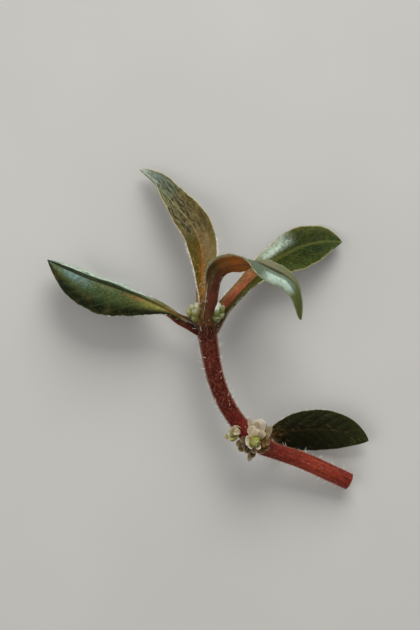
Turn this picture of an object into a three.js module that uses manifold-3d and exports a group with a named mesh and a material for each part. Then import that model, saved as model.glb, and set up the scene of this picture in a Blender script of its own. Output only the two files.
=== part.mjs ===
// A cut sprig of mini alternanthera reineckii that lies on its back, with its upper pairs of leaves spread.
// Sizes are in millimetres. X is to the sprig's right, Y is towards its top and Z is up, away from the surface.
// Each piece is a closed skin over rings that follow a curve, and a piece is trimmed where it meets the stem.

import * as THREE from 'three';
import { mergeVertices } from 'three/addons/utils/BufferGeometryUtils.js';
import Module from 'manifold-3d';

const wasm = await Module();
wasm.setup();

// Air left between a piece and the one that it grows from.
const JOINT_GAP = 0.2;

// Blade of every leaf.
const LAMINA = 0.36;
const RING_COUNT = 26;
const LAST_RING = 0.985;
const UPPER_FACE = [-1, -0.62, -0.26, 0, 0.26, 0.62, 1];

// Stem: place of the axis, then its radius.
const STEM_SIDES = 12;
const STEM_RINGS = 40;
const STEM = [
    [0.1, 2.4, 0.0, 0.6], [0.1, 1.7, 0.0, 1.15], [0.1, 0.3, 0.0, 1.6], [0.2, -1.2, 0.0, 1.6], [0.4, -2.7, 0.0, 1.38],
    [0.7, -4.5, 0.0, 1.3], [1.3, -7.8, -0.1, 1.25], [2.2, -10.8, -0.2, 1.22], [3.5, -13.5, -0.3, 1.2],
    [5.1, -15.8, -0.4, 1.2], [6.8, -17.7, -0.5, 1.45], [8.5, -19.1, -0.9, 1.3], [10.9, -20.2, -1.5, 1.12],
    [14.2, -21.3, -2.4, 1.2], [18.0, -23.0, -3.4, 1.22], [21.8, -24.8, -4.47, 1.2]
];

// Leaves. A station is a place on the midrib, the direction that the upper face looks in, and the angles
// in degrees that the left and the right half rise from the midrib. Widths are from midrib to margin.
const LEAVES = {
    leaf_arching: {
        colour: 0x7a5a38, petiole: 0.12, stalkHalf: 0.85, ribDepth: [1.25, 0.45],
        left: { half: 2.7, powers: [0.75, 0.75], curl: -5 },
        right: { half: 2.75, powers: [0.75, 0.6], curl: -8 },
        stations: [
            [0.7, 0.3, 0.9, -0.2, 0.1, -1.0, 40, 40], [0.95, 2.7, 1.3, -0.2, 0.1, -1.0, 35, 35],
            [1.2, 4.6, 1.7, -0.25, 0.15, -0.95, 25, 25], [1.6, 6.6, 2.3, -0.45, 0.4, -0.85, 5, 20],
            [2.9, 8.0, 3.4, -0.4, 0.7, -0.7, -8, 12], [5.0, 8.5, 4.7, -0.2, 0.85, -0.6, -6, 5],
            [6.6, 8.6, 5.7, 0.0, 1.0, -0.1, 2, 8], [8.2, 8.2, 6.4, 0.1, 0.85, 0.45, -10, 7],
            [10.2, 7.3, 7.1, 0.2, 0.7, 0.7, -20, -4], [12.2, 6.2, 7.6, 0.4, 0.6, 0.7, -25, -5],
            [13.5, 4.7, 7.8, 0.55, 0.35, 0.75, -32, -5], [14.2, 2.7, 7.7, 0.7, 0.1, 0.7, -35, 0],
            [14.2, -0.3, 7.2, 0.75, 0.0, 0.65, -20, 0]
        ]
    },
    leaf_upright: {
        colour: 0x6b5a30, petiole: 0.1, stalkHalf: 0.6, ribDepth: [1.1, 0.45],
        left: { half: 2.45, powers: [0.9, 1.2], curl: 8 },
        right: { half: 2.8, powers: [0.78, 0.62], curl: 8 },
        stations: [
            [-0.3, 0.6, -0.9, 0.3, 0.0, 1.0, 50, 50], [-0.45, 3.9, -1.3, 0.3, 0.0, 0.95, 35, 35],
            [-0.35, 7.2, -1.6, 0.35, 0.05, 0.9, 20, 22], [-0.5, 10.2, -1.8, 0.4, 0.1, 0.9, 5, 20],
            [-1.35, 13.0, -2.0, 0.4, 0.2, 0.85, 0, 20], [-3.1, 15.5, -2.2, 0.4, 0.3, 0.85, 0, 20],
            [-4.3, 16.9, -2.5, 0.4, 0.4, 0.8, 5, 15], [-5.6, 18.4, -2.8, 0.45, 0.45, 0.75, 10, 12],
            [-7.2, 20.7, -3.2, 0.5, 0.5, 0.7, 10, 8], [-9.9, 22.5, -3.8, 0.5, 0.5, 0.7, 5, 5]
        ]
    },
    leaf_left: {
        colour: 0x46583a, petiole: 0.14, stalkHalf: 0.7, ribDepth: [1.5, 0.5],
        left: { half: 4.9, powers: [1.3, 1.0], curl: -18 },
        right: { half: 4.6, powers: [1.3, 1.0], curl: -6 },
        stations: [
            [-0.8, -1.2, 0.1, -0.3, 0.8, 0.5, 40, 40], [-2.2, -0.5, 0.1, -0.2, 0.8, 0.5, 20, 15],
            [-3.8, 0.2, 0.0, 0.0, 0.8, 0.5, 5, 0], [-5.5, 1.3, -0.2, 0.15, 0.75, 0.6, -10, -15],
            [-8.2, 2.65, -0.5, 0.28, 0.72, 0.63, -20, -25], [-11.2, 3.9, -0.85, 0.28, 0.72, 0.63, -25, -28],
            [-14.5, 5.1, -1.08, 0.28, 0.72, 0.63, -25, -28], [-17.8, 6.2, -1.4, 0.28, 0.72, 0.63, -25, -27],
            [-20.8, 7.45, -1.7, 0.28, 0.72, 0.63, -20, -24], [-23.8, 8.8, -2.2, 0.28, 0.72, 0.63, -15, -18]
        ]
    },
    leaf_right: {
        colour: 0x6f5a38, petiole: 0.06, stalkHalf: 1.12, ribDepth: [1.4, 0.5],
        left: { half: 3.65, powers: [2.9, 0.9], curl: -8 },
        right: { half: 3.9, powers: [2.6, 1.1], curl: -12 },
        stations: [
            [1.2, -1.3, -0.3, -0.6, 0.6, 0.6, 20, 0], [2.5, 1.1, -0.8, -0.5, 0.6, 0.7, 25, 0],
            [4.2, 3.1, -1.3, -0.4, 0.6, 0.7, 25, 5], [5.8, 4.8, -1.8, -0.4, 0.6, 0.7, 25, 5],
            [7.4, 6.4, -2.2, -0.35, 0.6, 0.7, 25, 5], [9.4, 8.0, -2.7, -0.3, 0.65, 0.7, 20, 5],
            [12.0, 9.6, -3.05, -0.2, 0.65, 0.72, 12, 0], [14.8, 10.9, -3.45, -0.1, 0.65, 0.74, 8, -3],
            [17.8, 11.6, -3.87, 0.0, 0.65, 0.75, 5, -5], [20.8, 11.5, -4.3, 0.1, 0.65, 0.75, 5, -5]
        ]
    },
    leaf_lower: {
        colour: 0x24240f, petiole: 0.04, stalkHalf: 0.6, ribDepth: [1.1, 0.45],
        left: { half: 3.1, powers: [0.8, 0.8], curl: -8 },
        right: { half: 4.1, powers: [0.7, 0.9], curl: -8 },
        stations: [
            [8.2, -18.4, -0.9, -0.3, -0.1, 0.95, 20, 0], [10.0, -17.8, -1.5, -0.2, -0.2, 0.95, 15, -10],
            [12.4, -17.2, -2.15, -0.15, -0.25, 0.95, 8, -20], [15.1, -16.9, -2.58, -0.15, -0.25, 0.95, 5, -20],
            [18.1, -16.9, -2.9, -0.1, -0.2, 0.95, 5, -18], [21.4, -17.4, -3.4, 0.0, -0.1, 0.95, 5, -15],
            [24.8, -18.6, -3.9, 0.1, 0.0, 0.95, 5, -10]
        ]
    }
};

// Bracts and papery tepals, in heads. Each is its base, its tip, its full width and its full thickness.
const BRACT_SIDES = 8;
const BRACT_PROFILE = [[0.0, 0.55], [0.22, 0.92], [0.48, 1.0], [0.74, 0.72], [0.92, 0.32]];
const HEADS = {
    flower_head: {
        colour: 0xb0a287,
        bracts: [
            [[7.4, -18.2, 0.5], [7.4, -18.5, 3.0], 2.1, 1.7],
            [[7.6, -17.6, 1.0], [8.4, -15.1, 2.4], 2.1, 0.8],
            [[7.1, -17.0, 0.9], [6.8, -14.5, 1.5], 0.9, 0.5],
            [[7.4, -17.8, 1.2], [6.4, -15.9, 2.3], 1.6, 0.7],
            [[8.4, -18.2, 0.8], [9.8, -15.8, 1.7], 1.4, 0.7],
            [[7.4, -18.4, 1.2], [5.8, -18.4, 2.5], 1.4, 0.7],
            [[8.2, -17.9, 1.2], [8.8, -19.4, 2.4], 0.8, 0.6],
            [[6.6, -18.6, 0.8], [4.3, -19.1, 1.2], 1.3, 0.6],
            [[7.0, -18.6, 1.0], [5.6, -19.9, 1.8], 1.5, 0.7],
            [[7.5, -19.0, 0.8], [6.4, -21.5, 0.9], 0.9, 0.5],
            [[7.6, -18.6, 1.2], [7.8, -20.3, 2.2], 1.6, 0.7],
            [[8.0, -18.6, 0.9], [9.3, -19.9, 1.9], 1.3, 0.7]
        ]
    },
    flower_bud: {
        colour: 0xa6a878,
        bracts: [
            [[5.2, -16.8, 0.4], [2.8, -17.8, 0.9], 1.5, 1.1],
            [[5.0, -16.5, 0.5], [3.0, -16.7, 1.2], 1.2, 0.6],
            [[5.0, -17.2, 0.4], [3.9, -18.3, 0.9], 1.2, 0.7]
        ]
    },
    bud_cluster_left: {
        colour: 0x9aa46c,
        bracts: [
            [[-1.3, 0.1, 0.9], [-2.3, 2.2, 1.5], 1.3, 1.0],
            [[-1.2, 0.2, 1.1], [-1.4, 2.5, 1.8], 1.0, 0.9],
            [[-1.4, 0.0, 0.9], [-2.9, 1.3, 1.7], 1.0, 0.9],
            [[-1.2, 0.0, 1.0], [-1.9, 1.2, 2.4], 1.0, 0.8]
        ]
    },
    bud_cluster_right: {
        colour: 0x9aa46c,
        bracts: [
            [[1.7, 0.0, 1.0], [1.7, 2.7, 1.6], 1.1, 0.9],
            [[1.7, 0.0, 1.0], [2.6, 1.9, 1.7], 1.2, 1.0],
            [[1.7, 0.0, 1.1], [2.9, 0.6, 1.9], 0.9, 0.8],
            [[1.6, 0.1, 1.2], [2.0, 1.2, 2.4], 0.9, 0.8]
        ]
    }
};

// A closed skin over rings of points, with a fan from the first ring to start and from the last to end.
function skin(rings, start, end) {
    const sides = rings[0].length;
    const points = [...rings.flat(), start, end];
    const first = rings.length * sides;
    const faces = [];
    for (let side = 0; side < sides; side++) {
        const next = (side + 1) % sides;
        faces.push(first, next, side);
        for (let ring = 0; ring + 1 < rings.length; ring++) {
            const low = ring * sides;
            const high = low + sides;
            faces.push(low + side, low + next, high + next);
            faces.push(low + side, high + next, high + side);
        }
        const last = (rings.length - 1) * sides;
        faces.push(first + 1, last + side, last + next);
    }
    const geometry = new THREE.BufferGeometry().setFromPoints(points);
    geometry.setIndex(faces);
    return geometry;
}

// A curve through numbers first to first + 2 of every row.
function curveThrough(rows, first) {
    const points = rows.map((row) => new THREE.Vector3(row[first], row[first + 1], row[first + 2] ?? 0));
    const curve = new THREE.CatmullRomCurve3(points, false, 'catmullrom');
    curve.arcLengthDivisions = 400;
    return curve;
}

// How wide a blade is at a share of its length: 0 at both ends and 1 at its widest.
function bladeWidth(share, [basePower, tipPower]) {
    const widest = basePower / (basePower + tipPower);
    const most = widest ** basePower * (1 - widest) ** tipPower;
    return share ** basePower * (1 - share) ** tipPower / most;
}

// One ring of a leaf: its upper face from the right margin to the left, then back along its lower face.
// The half blade turns by its curl as it goes outwards, and the lower face hangs from it by the thickness.
function leafRing(leaf, curves, along, grow) {
    const parameter = curves.midrib.getUtoTmapping(along);
    const place = curves.midrib.getPoint(parameter);
    const forward = curves.midrib.getTangent(parameter);
    const face = curves.face.getPoint(parameter);
    const folds = curves.folds.getPoint(parameter);
    const up = face.addScaledVector(forward, -face.dot(forward)).normalize();
    const outward = new THREE.Vector3().crossVectors(up, forward);
    const share = Math.max(0, (along - leaf.petiole) / (1 - leaf.petiole));
    const stalk = leaf.stalkHalf * (1 - along ** 3);
    const rib = THREE.MathUtils.lerp(leaf.ribDepth[0], leaf.ribDepth[1], Math.min(1, 1.6 * along));

    const upper = [];
    const lower = [];
    for (const side of UPPER_FACE) {
        const half = side < 0 ? leaf.right : leaf.left;
        const width = Math.hypot(stalk, half.half * bladeWidth(share, half.powers)) + grow;
        const fold = THREE.MathUtils.degToRad(side < 0 ? folds.y : folds.x);
        const curl = THREE.MathUtils.degToRad(half.curl) * Math.sin(Math.PI * along) - 1e-4;
        const reach = Math.abs(side);
        const angle = fold + curl * reach;
        const across = Math.sign(side) * width * (Math.sin(angle) - Math.sin(fold)) / curl;
        const rise = width * (Math.cos(fold) - Math.cos(angle)) / curl;
        const point = place.clone().addScaledVector(outward, across).addScaledVector(up, rise);
        const normal = side === 0 ? up.clone() : up.clone().multiplyScalar(Math.cos(angle))
            .addScaledVector(outward, -Math.sign(side) * Math.sin(angle));
        const depth = LAMINA + (rib - LAMINA) * Math.max(0, 1 - reach * width / (0.75 * leaf.stalkHalf + 0.4));
        upper.push(point.clone().addScaledVector(normal, grow));
        lower.push(point.clone().addScaledVector(normal, -depth - grow));
    }
    return [...upper, ...lower.reverse()];
}

function leafSkin(leaf, grow = 0) {
    const curves = {
        midrib: curveThrough(leaf.stations, 0),
        face: curveThrough(leaf.stations, 3),
        folds: curveThrough(leaf.stations, 6)
    };
    const rings = [];
    for (let ring = 0; ring < RING_COUNT; ring++) {
        const share = ring / (RING_COUNT - 1);
        rings.push(leafRing(leaf, curves, LAST_RING * share * (1.3 - 0.3 * share), grow));
    }
    const middle = rings[0].reduce((sum, point) => sum.add(point), new THREE.Vector3());
    return skin(rings, middle.divideScalar(rings[0].length), curves.midrib.getPoint(1));
}

// A ring of points around a place, in the plane of two directions.
function ringAround(place, right, up, halfWidth, halfHeight, sides) {
    const ring = [];
    for (let side = 0; side < sides; side++) {
        const angle = 2 * Math.PI * side / sides;
        ring.push(place.clone().addScaledVector(right, halfWidth * Math.cos(angle))
            .addScaledVector(up, halfHeight * Math.sin(angle)));
    }
    return ring;
}

function stemSkin(grow = 0) {
    const axis = curveThrough(STEM, 0);
    const radii = curveThrough(STEM.map(([, , , radius]) => [radius, 0, 0]), 0);
    const frames = axis.computeFrenetFrames(STEM_RINGS - 1);
    const rings = [];
    for (let ring = 0; ring < STEM_RINGS; ring++) {
        const parameter = axis.getUtoTmapping(ring / (STEM_RINGS - 1));
        const radius = radii.getPoint(parameter).x + grow;
        rings.push(ringAround(axis.getPoint(parameter), frames.normals[ring], frames.binormals[ring],
            radius, radius, STEM_SIDES));
    }
    return skin(rings, axis.getPoint(0), axis.getPoint(1));
}

// A pointed scale from its base to its tip, flat towards the viewer above it.
function bractSkin([base, tip, width, thickness]) {
    const start = new THREE.Vector3(...base);
    const end = new THREE.Vector3(...tip);
    const forward = end.clone().sub(start).normalize();
    const sideways = Math.abs(forward.z) > 0.95 ? new THREE.Vector3(0, 1, 0) : new THREE.Vector3(0, 0, 1);
    const right = new THREE.Vector3().crossVectors(forward, sideways).normalize();
    const up = new THREE.Vector3().crossVectors(right, forward);
    const rings = BRACT_PROFILE.map(([along, size]) => ringAround(start.clone().lerp(end, along),
        right, up, size * width / 2, size * thickness / 2, BRACT_SIDES));
    return skin(rings, start.clone().addScaledVector(forward, -0.1), end);
}

// A solid of a closed geometry, facing outwards.
function solidOf(geometry) {
    const merged = mergeVertices(geometry, 1e-5);
    const make = (faces) => new wasm.Manifold(new wasm.Mesh({
        numProp: 3,
        vertProperties: merged.attributes.position.array,
        triVerts: faces
    }));
    const faces = new Uint32Array(merged.index.array);
    const solid = make(faces);
    return solid.volume() > 0 ? solid : make(faces.reverse());
}

// What is left of a solid outside others, as its largest piece.
function trimmed(solid, others) {
    const cut = others.reduce((rest, other) => rest.subtract(other), solid);
    return cut.decompose().reduce((largest, piece) => (piece.volume() > largest.volume() ? piece : largest));
}

function meshOf(name, solid, colour) {
    const mesh = solid.getMesh();
    const geometry = new THREE.BufferGeometry();
    geometry.setAttribute('position', new THREE.BufferAttribute(mesh.vertProperties, 3));
    geometry.setIndex(new THREE.BufferAttribute(mesh.triVerts, 1));
    const material = new THREE.MeshStandardMaterial({ color: colour, roughness: 0.5, metalness: 0 });
    const object = new THREE.Mesh(geometry, material);
    object.name = name;
    return object;
}

// The stem is whole. Each leaf is cut by what was made before it, and each head by the stem and leaves.
const meshes = [meshOf('stem', solidOf(stemSkin()), 0x7a2a26)];
const cutters = [solidOf(stemSkin(JOINT_GAP))];
for (const [name, leaf] of Object.entries(LEAVES)) {
    meshes.push(meshOf(name, trimmed(solidOf(leafSkin(leaf)), cutters), leaf.colour));
    cutters.push(solidOf(leafSkin(leaf, JOINT_GAP)));
}
for (const [name, head] of Object.entries(HEADS)) {
    const whole = head.bracts.map((bract) => solidOf(bractSkin(bract))).reduce((sum, next) => sum.add(next));
    meshes.push(meshOf(name, trimmed(whole, cutters), head.colour));
}

// The origin is under the middle of the sprig, on the surface that it lies on.
const group = new THREE.Group();
group.add(...meshes);
const box = new THREE.Box3().setFromObject(group);
const centre = box.getCenter(new THREE.Vector3());
group.position.set(-centre.x, -centre.y, -box.min.z);

export default group;
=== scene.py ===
"""A cut sprig of mini alternanthera reineckii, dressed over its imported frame.

The sprig lies on its back on a pale floor, and the camera looks straight down on it. The forms below are
measured in millimetres from the middle of the sprig's upper node, with X to the right, Y towards the growing
end and Z up. Every finished mesh is in metres in the frame.
"""

import logging
import math
from dataclasses import dataclass, field
from enum import Enum

import bpy
import numpy as np
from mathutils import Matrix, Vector


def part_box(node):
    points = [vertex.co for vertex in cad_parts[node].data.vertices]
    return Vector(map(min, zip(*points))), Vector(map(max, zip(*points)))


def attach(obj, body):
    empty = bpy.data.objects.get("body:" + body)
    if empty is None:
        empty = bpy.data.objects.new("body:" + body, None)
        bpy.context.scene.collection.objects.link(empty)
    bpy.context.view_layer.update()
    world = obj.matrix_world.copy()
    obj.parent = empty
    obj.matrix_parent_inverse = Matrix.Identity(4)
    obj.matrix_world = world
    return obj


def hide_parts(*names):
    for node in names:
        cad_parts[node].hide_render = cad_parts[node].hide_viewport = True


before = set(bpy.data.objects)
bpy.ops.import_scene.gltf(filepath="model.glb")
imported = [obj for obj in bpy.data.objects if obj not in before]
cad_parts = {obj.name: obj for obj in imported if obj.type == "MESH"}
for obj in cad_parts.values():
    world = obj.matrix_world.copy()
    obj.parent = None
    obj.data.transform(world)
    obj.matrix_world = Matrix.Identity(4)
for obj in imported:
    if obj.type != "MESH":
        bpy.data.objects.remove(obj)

LOG = logging.getLogger("sprig")
MM = 0.001
BODY = "root"

Array = np.ndarray
Colour = tuple[float, float, float, float]
Place = tuple[float, float, float]
Rgb = tuple[int, int, int]
Stops = tuple[tuple[float, int, int, int], ...]
Socket = bpy.types.NodeSocket
Tree = bpy.types.NodeTree
Material = bpy.types.Material

WHITE = (1.0, 1.0, 1.0, 1.0)


def srgb(red: int, green: int, blue: int) -> Colour:
    """Turns a display colour of 0 to 255 into the linear colour that shaders take.

    Args:
        red: Its red.
        green: Its green.
        blue: Its blue.

    Returns:
        Red, green, blue and an alpha of 1.
    """
    share = np.array([red, green, blue]) / 255
    linear = np.where(share < 0.04045, share / 12.92, ((share + 0.055) / 1.055) ** 2.4)
    return (*map(float, linear), 1.0)


def smooth_step(low: float, high: float, value: Array) -> Array:
    """Rises from 0 at low to 1 at high, level at both ends."""
    share = np.clip((value - low) / (high - low), 0, 1)
    return share * share * (3 - 2 * share)


def unit(vectors: Array) -> Array:
    """Gives vectors on the last axis a length of 1."""
    return vectors / np.maximum(np.linalg.norm(vectors, axis=-1, keepdims=True), 1e-12)


def bell(value: Array, half: float) -> Array:
    """A bell: 1 at 0, and 1 over e where the value is half."""
    return np.exp(-((value / half) ** 2))


def both_faces(across: int) -> tuple[Array, Array]:
    """A ring around a thin skin: each point's share of the width, and 0 for its upper face or 1 below."""
    over = np.linspace(-1, 1, across)
    return np.concatenate([over, over[::-1]])[None], np.repeat([0.0, 1.0], across)[None]


def lattice(first: Array, second: Array, reach: int) -> tuple[Array, Array, Array, Array]:
    """Splits two coordinates into wrapped lattice numbers and shares of a square."""
    low, left = np.floor(first), np.floor(second)
    return low.astype(int) % reach, left.astype(int) % reach, first - low, second - left


def smooth_noise(first: Array, second: Array, seed: int, reach: int = 64) -> Array:
    """Noise from -1 to 1: random heights on a square lattice, blended by smooth steps.

    Args:
        first: One coordinate, in lattice squares.
        second: The other coordinate.
        seed: What the heights come from.
        reach: After how many squares the noise repeats.

    Returns:
        The noise at each place.
    """
    table = np.random.default_rng(seed).uniform(-1, 1, (reach, reach))
    row, column, down, right = lattice(first, second, reach)
    down, right = down * down * (3 - 2 * down), right * right * (3 - 2 * right)
    next_row, next_column = (row + 1) % reach, (column + 1) % reach
    near = table[row, column] * (1 - right) + table[row, next_column] * right
    far = table[next_row, column] * (1 - right) + table[next_row, next_column] * right
    return near * (1 - down) + far * down


def cell_height(first: Array, second: Array, seed: int, reach: int = 64) -> Array:
    """Cells around one scattered point in each lattice square: 0 on the seams and 1 inside.

    The height rises with the difference between the distances to the nearest two points.

    Args:
        first: One coordinate, in lattice squares.
        second: The other coordinate.
        seed: What the points come from.
        reach: After how many squares the cells repeat.

    Returns:
        The height at each place.
    """
    seam_width, beyond_all = 0.4, 9.0
    points = np.random.default_rng(seed).uniform(0.12, 0.88, (reach, reach, 2))
    row, column, down, right = lattice(first, second, reach)
    nearest = np.full(row.shape, beyond_all)
    second_nearest = nearest.copy()
    for row_step in (-1, 0, 1):
        for column_step in (-1, 0, 1):
            point = points[(row + row_step) % reach, (column + column_step) % reach]
            distance = np.hypot(row_step + point[..., 0] - down, column_step + point[..., 1] - right)
            second_nearest = np.minimum(second_nearest, np.maximum(nearest, distance))
            nearest = np.minimum(nearest, distance)
    return smooth_step(0.0, seam_width, second_nearest - nearest)


@dataclass
class Path:
    """A smooth curve through rows whose first three numbers are a place.

    It is a cubic spline whose slope at a row is half the step between the rows beside it. It is tabled once
    at even steps of length, so that the rows' numbers can be read at a share of the whole length.
    """

    rows: tuple[tuple[float, ...], ...]
    length: float = field(init=False)
    table: Array = field(init=False)

    SAMPLES = 4000
    STEP = 2e-3

    def __post_init__(self) -> None:
        """Tables the curve by its length."""
        points = np.array(self.rows, float)
        points = np.vstack([2 * points[0] - points[1], points, 2 * points[-1] - points[-2]])
        spans = len(points) - 3
        at = np.linspace(0, spans, self.SAMPLES + 1)
        span = np.minimum(at.astype(int), spans - 1)
        part = (at - span)[:, None]
        one, two, three, four = (points[span + step] for step in range(4))
        curve = 0.5 * (2 * two + (three - one) * part + (2 * one - 5 * two + 4 * three - four) * part**2
                       + (3 * two - one - 3 * three + four) * part**3)
        steps = np.linalg.norm(np.diff(curve[:, :3], axis=0), axis=1)
        run = np.concatenate([[0], np.cumsum(steps)])
        self.length = float(run[-1])
        even = np.linspace(0, self.length, self.SAMPLES + 1)
        self.table = np.stack([np.interp(even, run, column) for column in curve.T], -1)

    def at(self, share: Array, first: int = 0, count: int = 3) -> Array:
        """Reads some of the rows' numbers along the curve.

        Args:
            share: Shares of the length, of any shape.
            first: The first number to read.
            count: How many numbers to read.

        Returns:
            The numbers, on a new last axis.
        """
        place = np.linspace(0, 1, self.SAMPLES + 1)
        columns = self.table[:, first:first + count].T
        return np.stack([np.interp(share, place, column) for column in columns], -1)

    def forward(self, share: Array) -> Array:
        """The curve's direction at shares of its length."""
        ahead, behind = np.clip(share + self.STEP, 0, 1), np.clip(share - self.STEP, 0, 1)
        return unit(self.at(ahead) - self.at(behind))


@dataclass
class Skin:
    """Closed skins of the same kind: rings of points, closed around, with a pole at each end.

    rings has the axes skin, ring, point and coordinate, start and end have skin and coordinate, and each of
    values has skin, ring and point. All places are in millimetres from the upper node.
    """

    rings: Array
    start: Array
    end: Array
    values: dict[str, Array]

    def vertices(self) -> Array:
        """All points, with each skin's two poles after its rings."""
        rings = self.rings.reshape(len(self.rings), -1, 3)
        return np.concatenate([rings, self.start[:, None], self.end[:, None]], 1).reshape(-1, 3)

    def value(self, name: str) -> Array:
        """One value for every point, with a pole taking the mean of its ring.

        Args:
            name: The value's name.

        Returns:
            The values, in the order of the points.
        """
        value = self.values[name]
        poles = value[:, [0, -1]].mean(-1)
        return np.concatenate([value.reshape(len(value), -1), poles], 1).reshape(-1)

    def faces(self, first: int) -> tuple[Array, Array]:
        """The quads between the rings and the triangles at the poles.

        Args:
            first: The number of this skin's first point in the mesh.

        Returns:
            The quads, with four numbers each, and the triangles, with three.
        """
        skins, rings, sides = self.rings.shape[:3]
        ring, side = np.meshgrid(np.arange(rings - 1), np.arange(sides), indexing="ij")
        ahead = (side + 1) % sides
        quads = np.stack([ring * sides + side, ring * sides + ahead,
                          (ring + 1) * sides + ahead, (ring + 1) * sides + side], -1).reshape(-1, 4)
        around = np.arange(sides)
        after = (around + 1) % sides
        base, last = rings * sides, (rings - 1) * sides
        low = np.stack([np.full(sides, base), after, around], -1)
        high = np.stack([np.full(sides, base + 1), last + around, last + after], -1)
        triangles = np.concatenate([low, high])
        offsets = first + np.arange(skins)[:, None, None] * (base + 2)
        return (quads + offsets).reshape(-1, 4), (triangles + offsets).reshape(-1, 3)

    def volume_sign(self) -> float:
        """The sign of the skins' volume: positive where their faces point outwards.

        Returns:
            1 or -1.
        """
        points = self.vertices()
        quads, triangles = self.faces(0)
        corners = np.concatenate([quads[:, [0, 1, 2]], quads[:, [0, 2, 3]], triangles])
        shape = points[corners] - points[0]
        volume = np.einsum("ij,ij->i", shape[:, 0], np.cross(shape[:, 1], shape[:, 2]))
        return float(np.sign(volume.sum()))


def make_mesh(name: str, places: Array, quads: Array, triangles: Array) -> bpy.types.Mesh:
    """Makes a smooth mesh from points in metres and numbered faces.

    Args:
        name: The mesh's name.
        places: The points.
        quads: Rows of four point numbers.
        triangles: Rows of three point numbers.

    Returns:
        The mesh.
    """
    corners = np.concatenate([quads.ravel(), triangles.ravel()]).astype(np.int32)
    starts = np.concatenate([np.arange(len(quads)) * 4, len(quads) * 4 + np.arange(len(triangles)) * 3])
    mesh = bpy.data.meshes.new(name)
    mesh.vertices.add(len(places))
    mesh.loops.add(len(corners))
    mesh.polygons.add(len(starts))
    mesh.vertices.foreach_set("co", places.astype(np.float32).ravel())
    mesh.loops.foreach_set("vertex_index", corners)
    mesh.polygons.foreach_set("loop_start", starts.astype(np.int32))
    mesh.polygons.foreach_set("use_smooth", np.ones(len(starts), bool))
    return mesh


def make_piece(name: str, skins: list[Skin], material: Material,
               nodes: tuple[str, ...] = ()) -> bpy.types.Object:
    """Joins skins with the same values into one smooth mesh and puts it in the frame.

    Args:
        name: The piece's name.
        skins: Its skins, in millimetres from the upper node.
        material: Its finish.
        nodes: The CAD nodes that it stands for.

    Returns:
        The object.
    """
    first = 0
    points, quads, triangles = [], [], []
    for skin in skins:
        four, three = skin.faces(first)
        if skin.volume_sign() < 0:
            four, three = four[:, ::-1], three[:, ::-1]
        points.append(skin.vertices())
        quads.append(four)
        triangles.append(three)
        first += len(points[-1])
    places = np.concatenate(points) * MM + upper_node()
    mesh = make_mesh(name, places, np.concatenate(quads), np.concatenate(triangles))
    for key in sorted(skins[0].values):
        layer = mesh.attributes.new(key, "FLOAT", "POINT")
        value = np.concatenate([skin.value(key) for skin in skins])
        layer.data.foreach_set("value", value.astype(np.float32))
    mesh.update(calc_edges=True)
    mesh.materials.append(material)

    piece = bpy.data.objects.new(name, mesh)
    bpy.context.scene.collection.objects.link(piece)
    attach(piece, BODY)
    if nodes:
        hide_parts(*nodes)
    LOG.info("%s: %d faces", name, len(mesh.polygons))
    return piece


# Ends of pieces, in millimetres from the upper node, that tell where the upper node lies in the frame.
LEFT_TIP_X = -23.8
UPPER_TIP_Y = 22.5
HEAD_TOP_Z = 3.0


def upper_node() -> Array:
    """The upper node's place in the frame, in metres, from three pieces' ends.

    Returns:
        The place.
    """
    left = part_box("leaf_left")[0][0]
    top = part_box("leaf_upright")[1][1]
    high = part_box("flower_head")[1][2]
    return np.array([left - LEFT_TIP_X * MM, top - UPPER_TIP_Y * MM, high - HEAD_TOP_Z * MM])


@dataclass(frozen=True)
class Tint:
    """A display colour and how much of it covers what lies beneath."""

    colour: Rgb
    share: float


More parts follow.
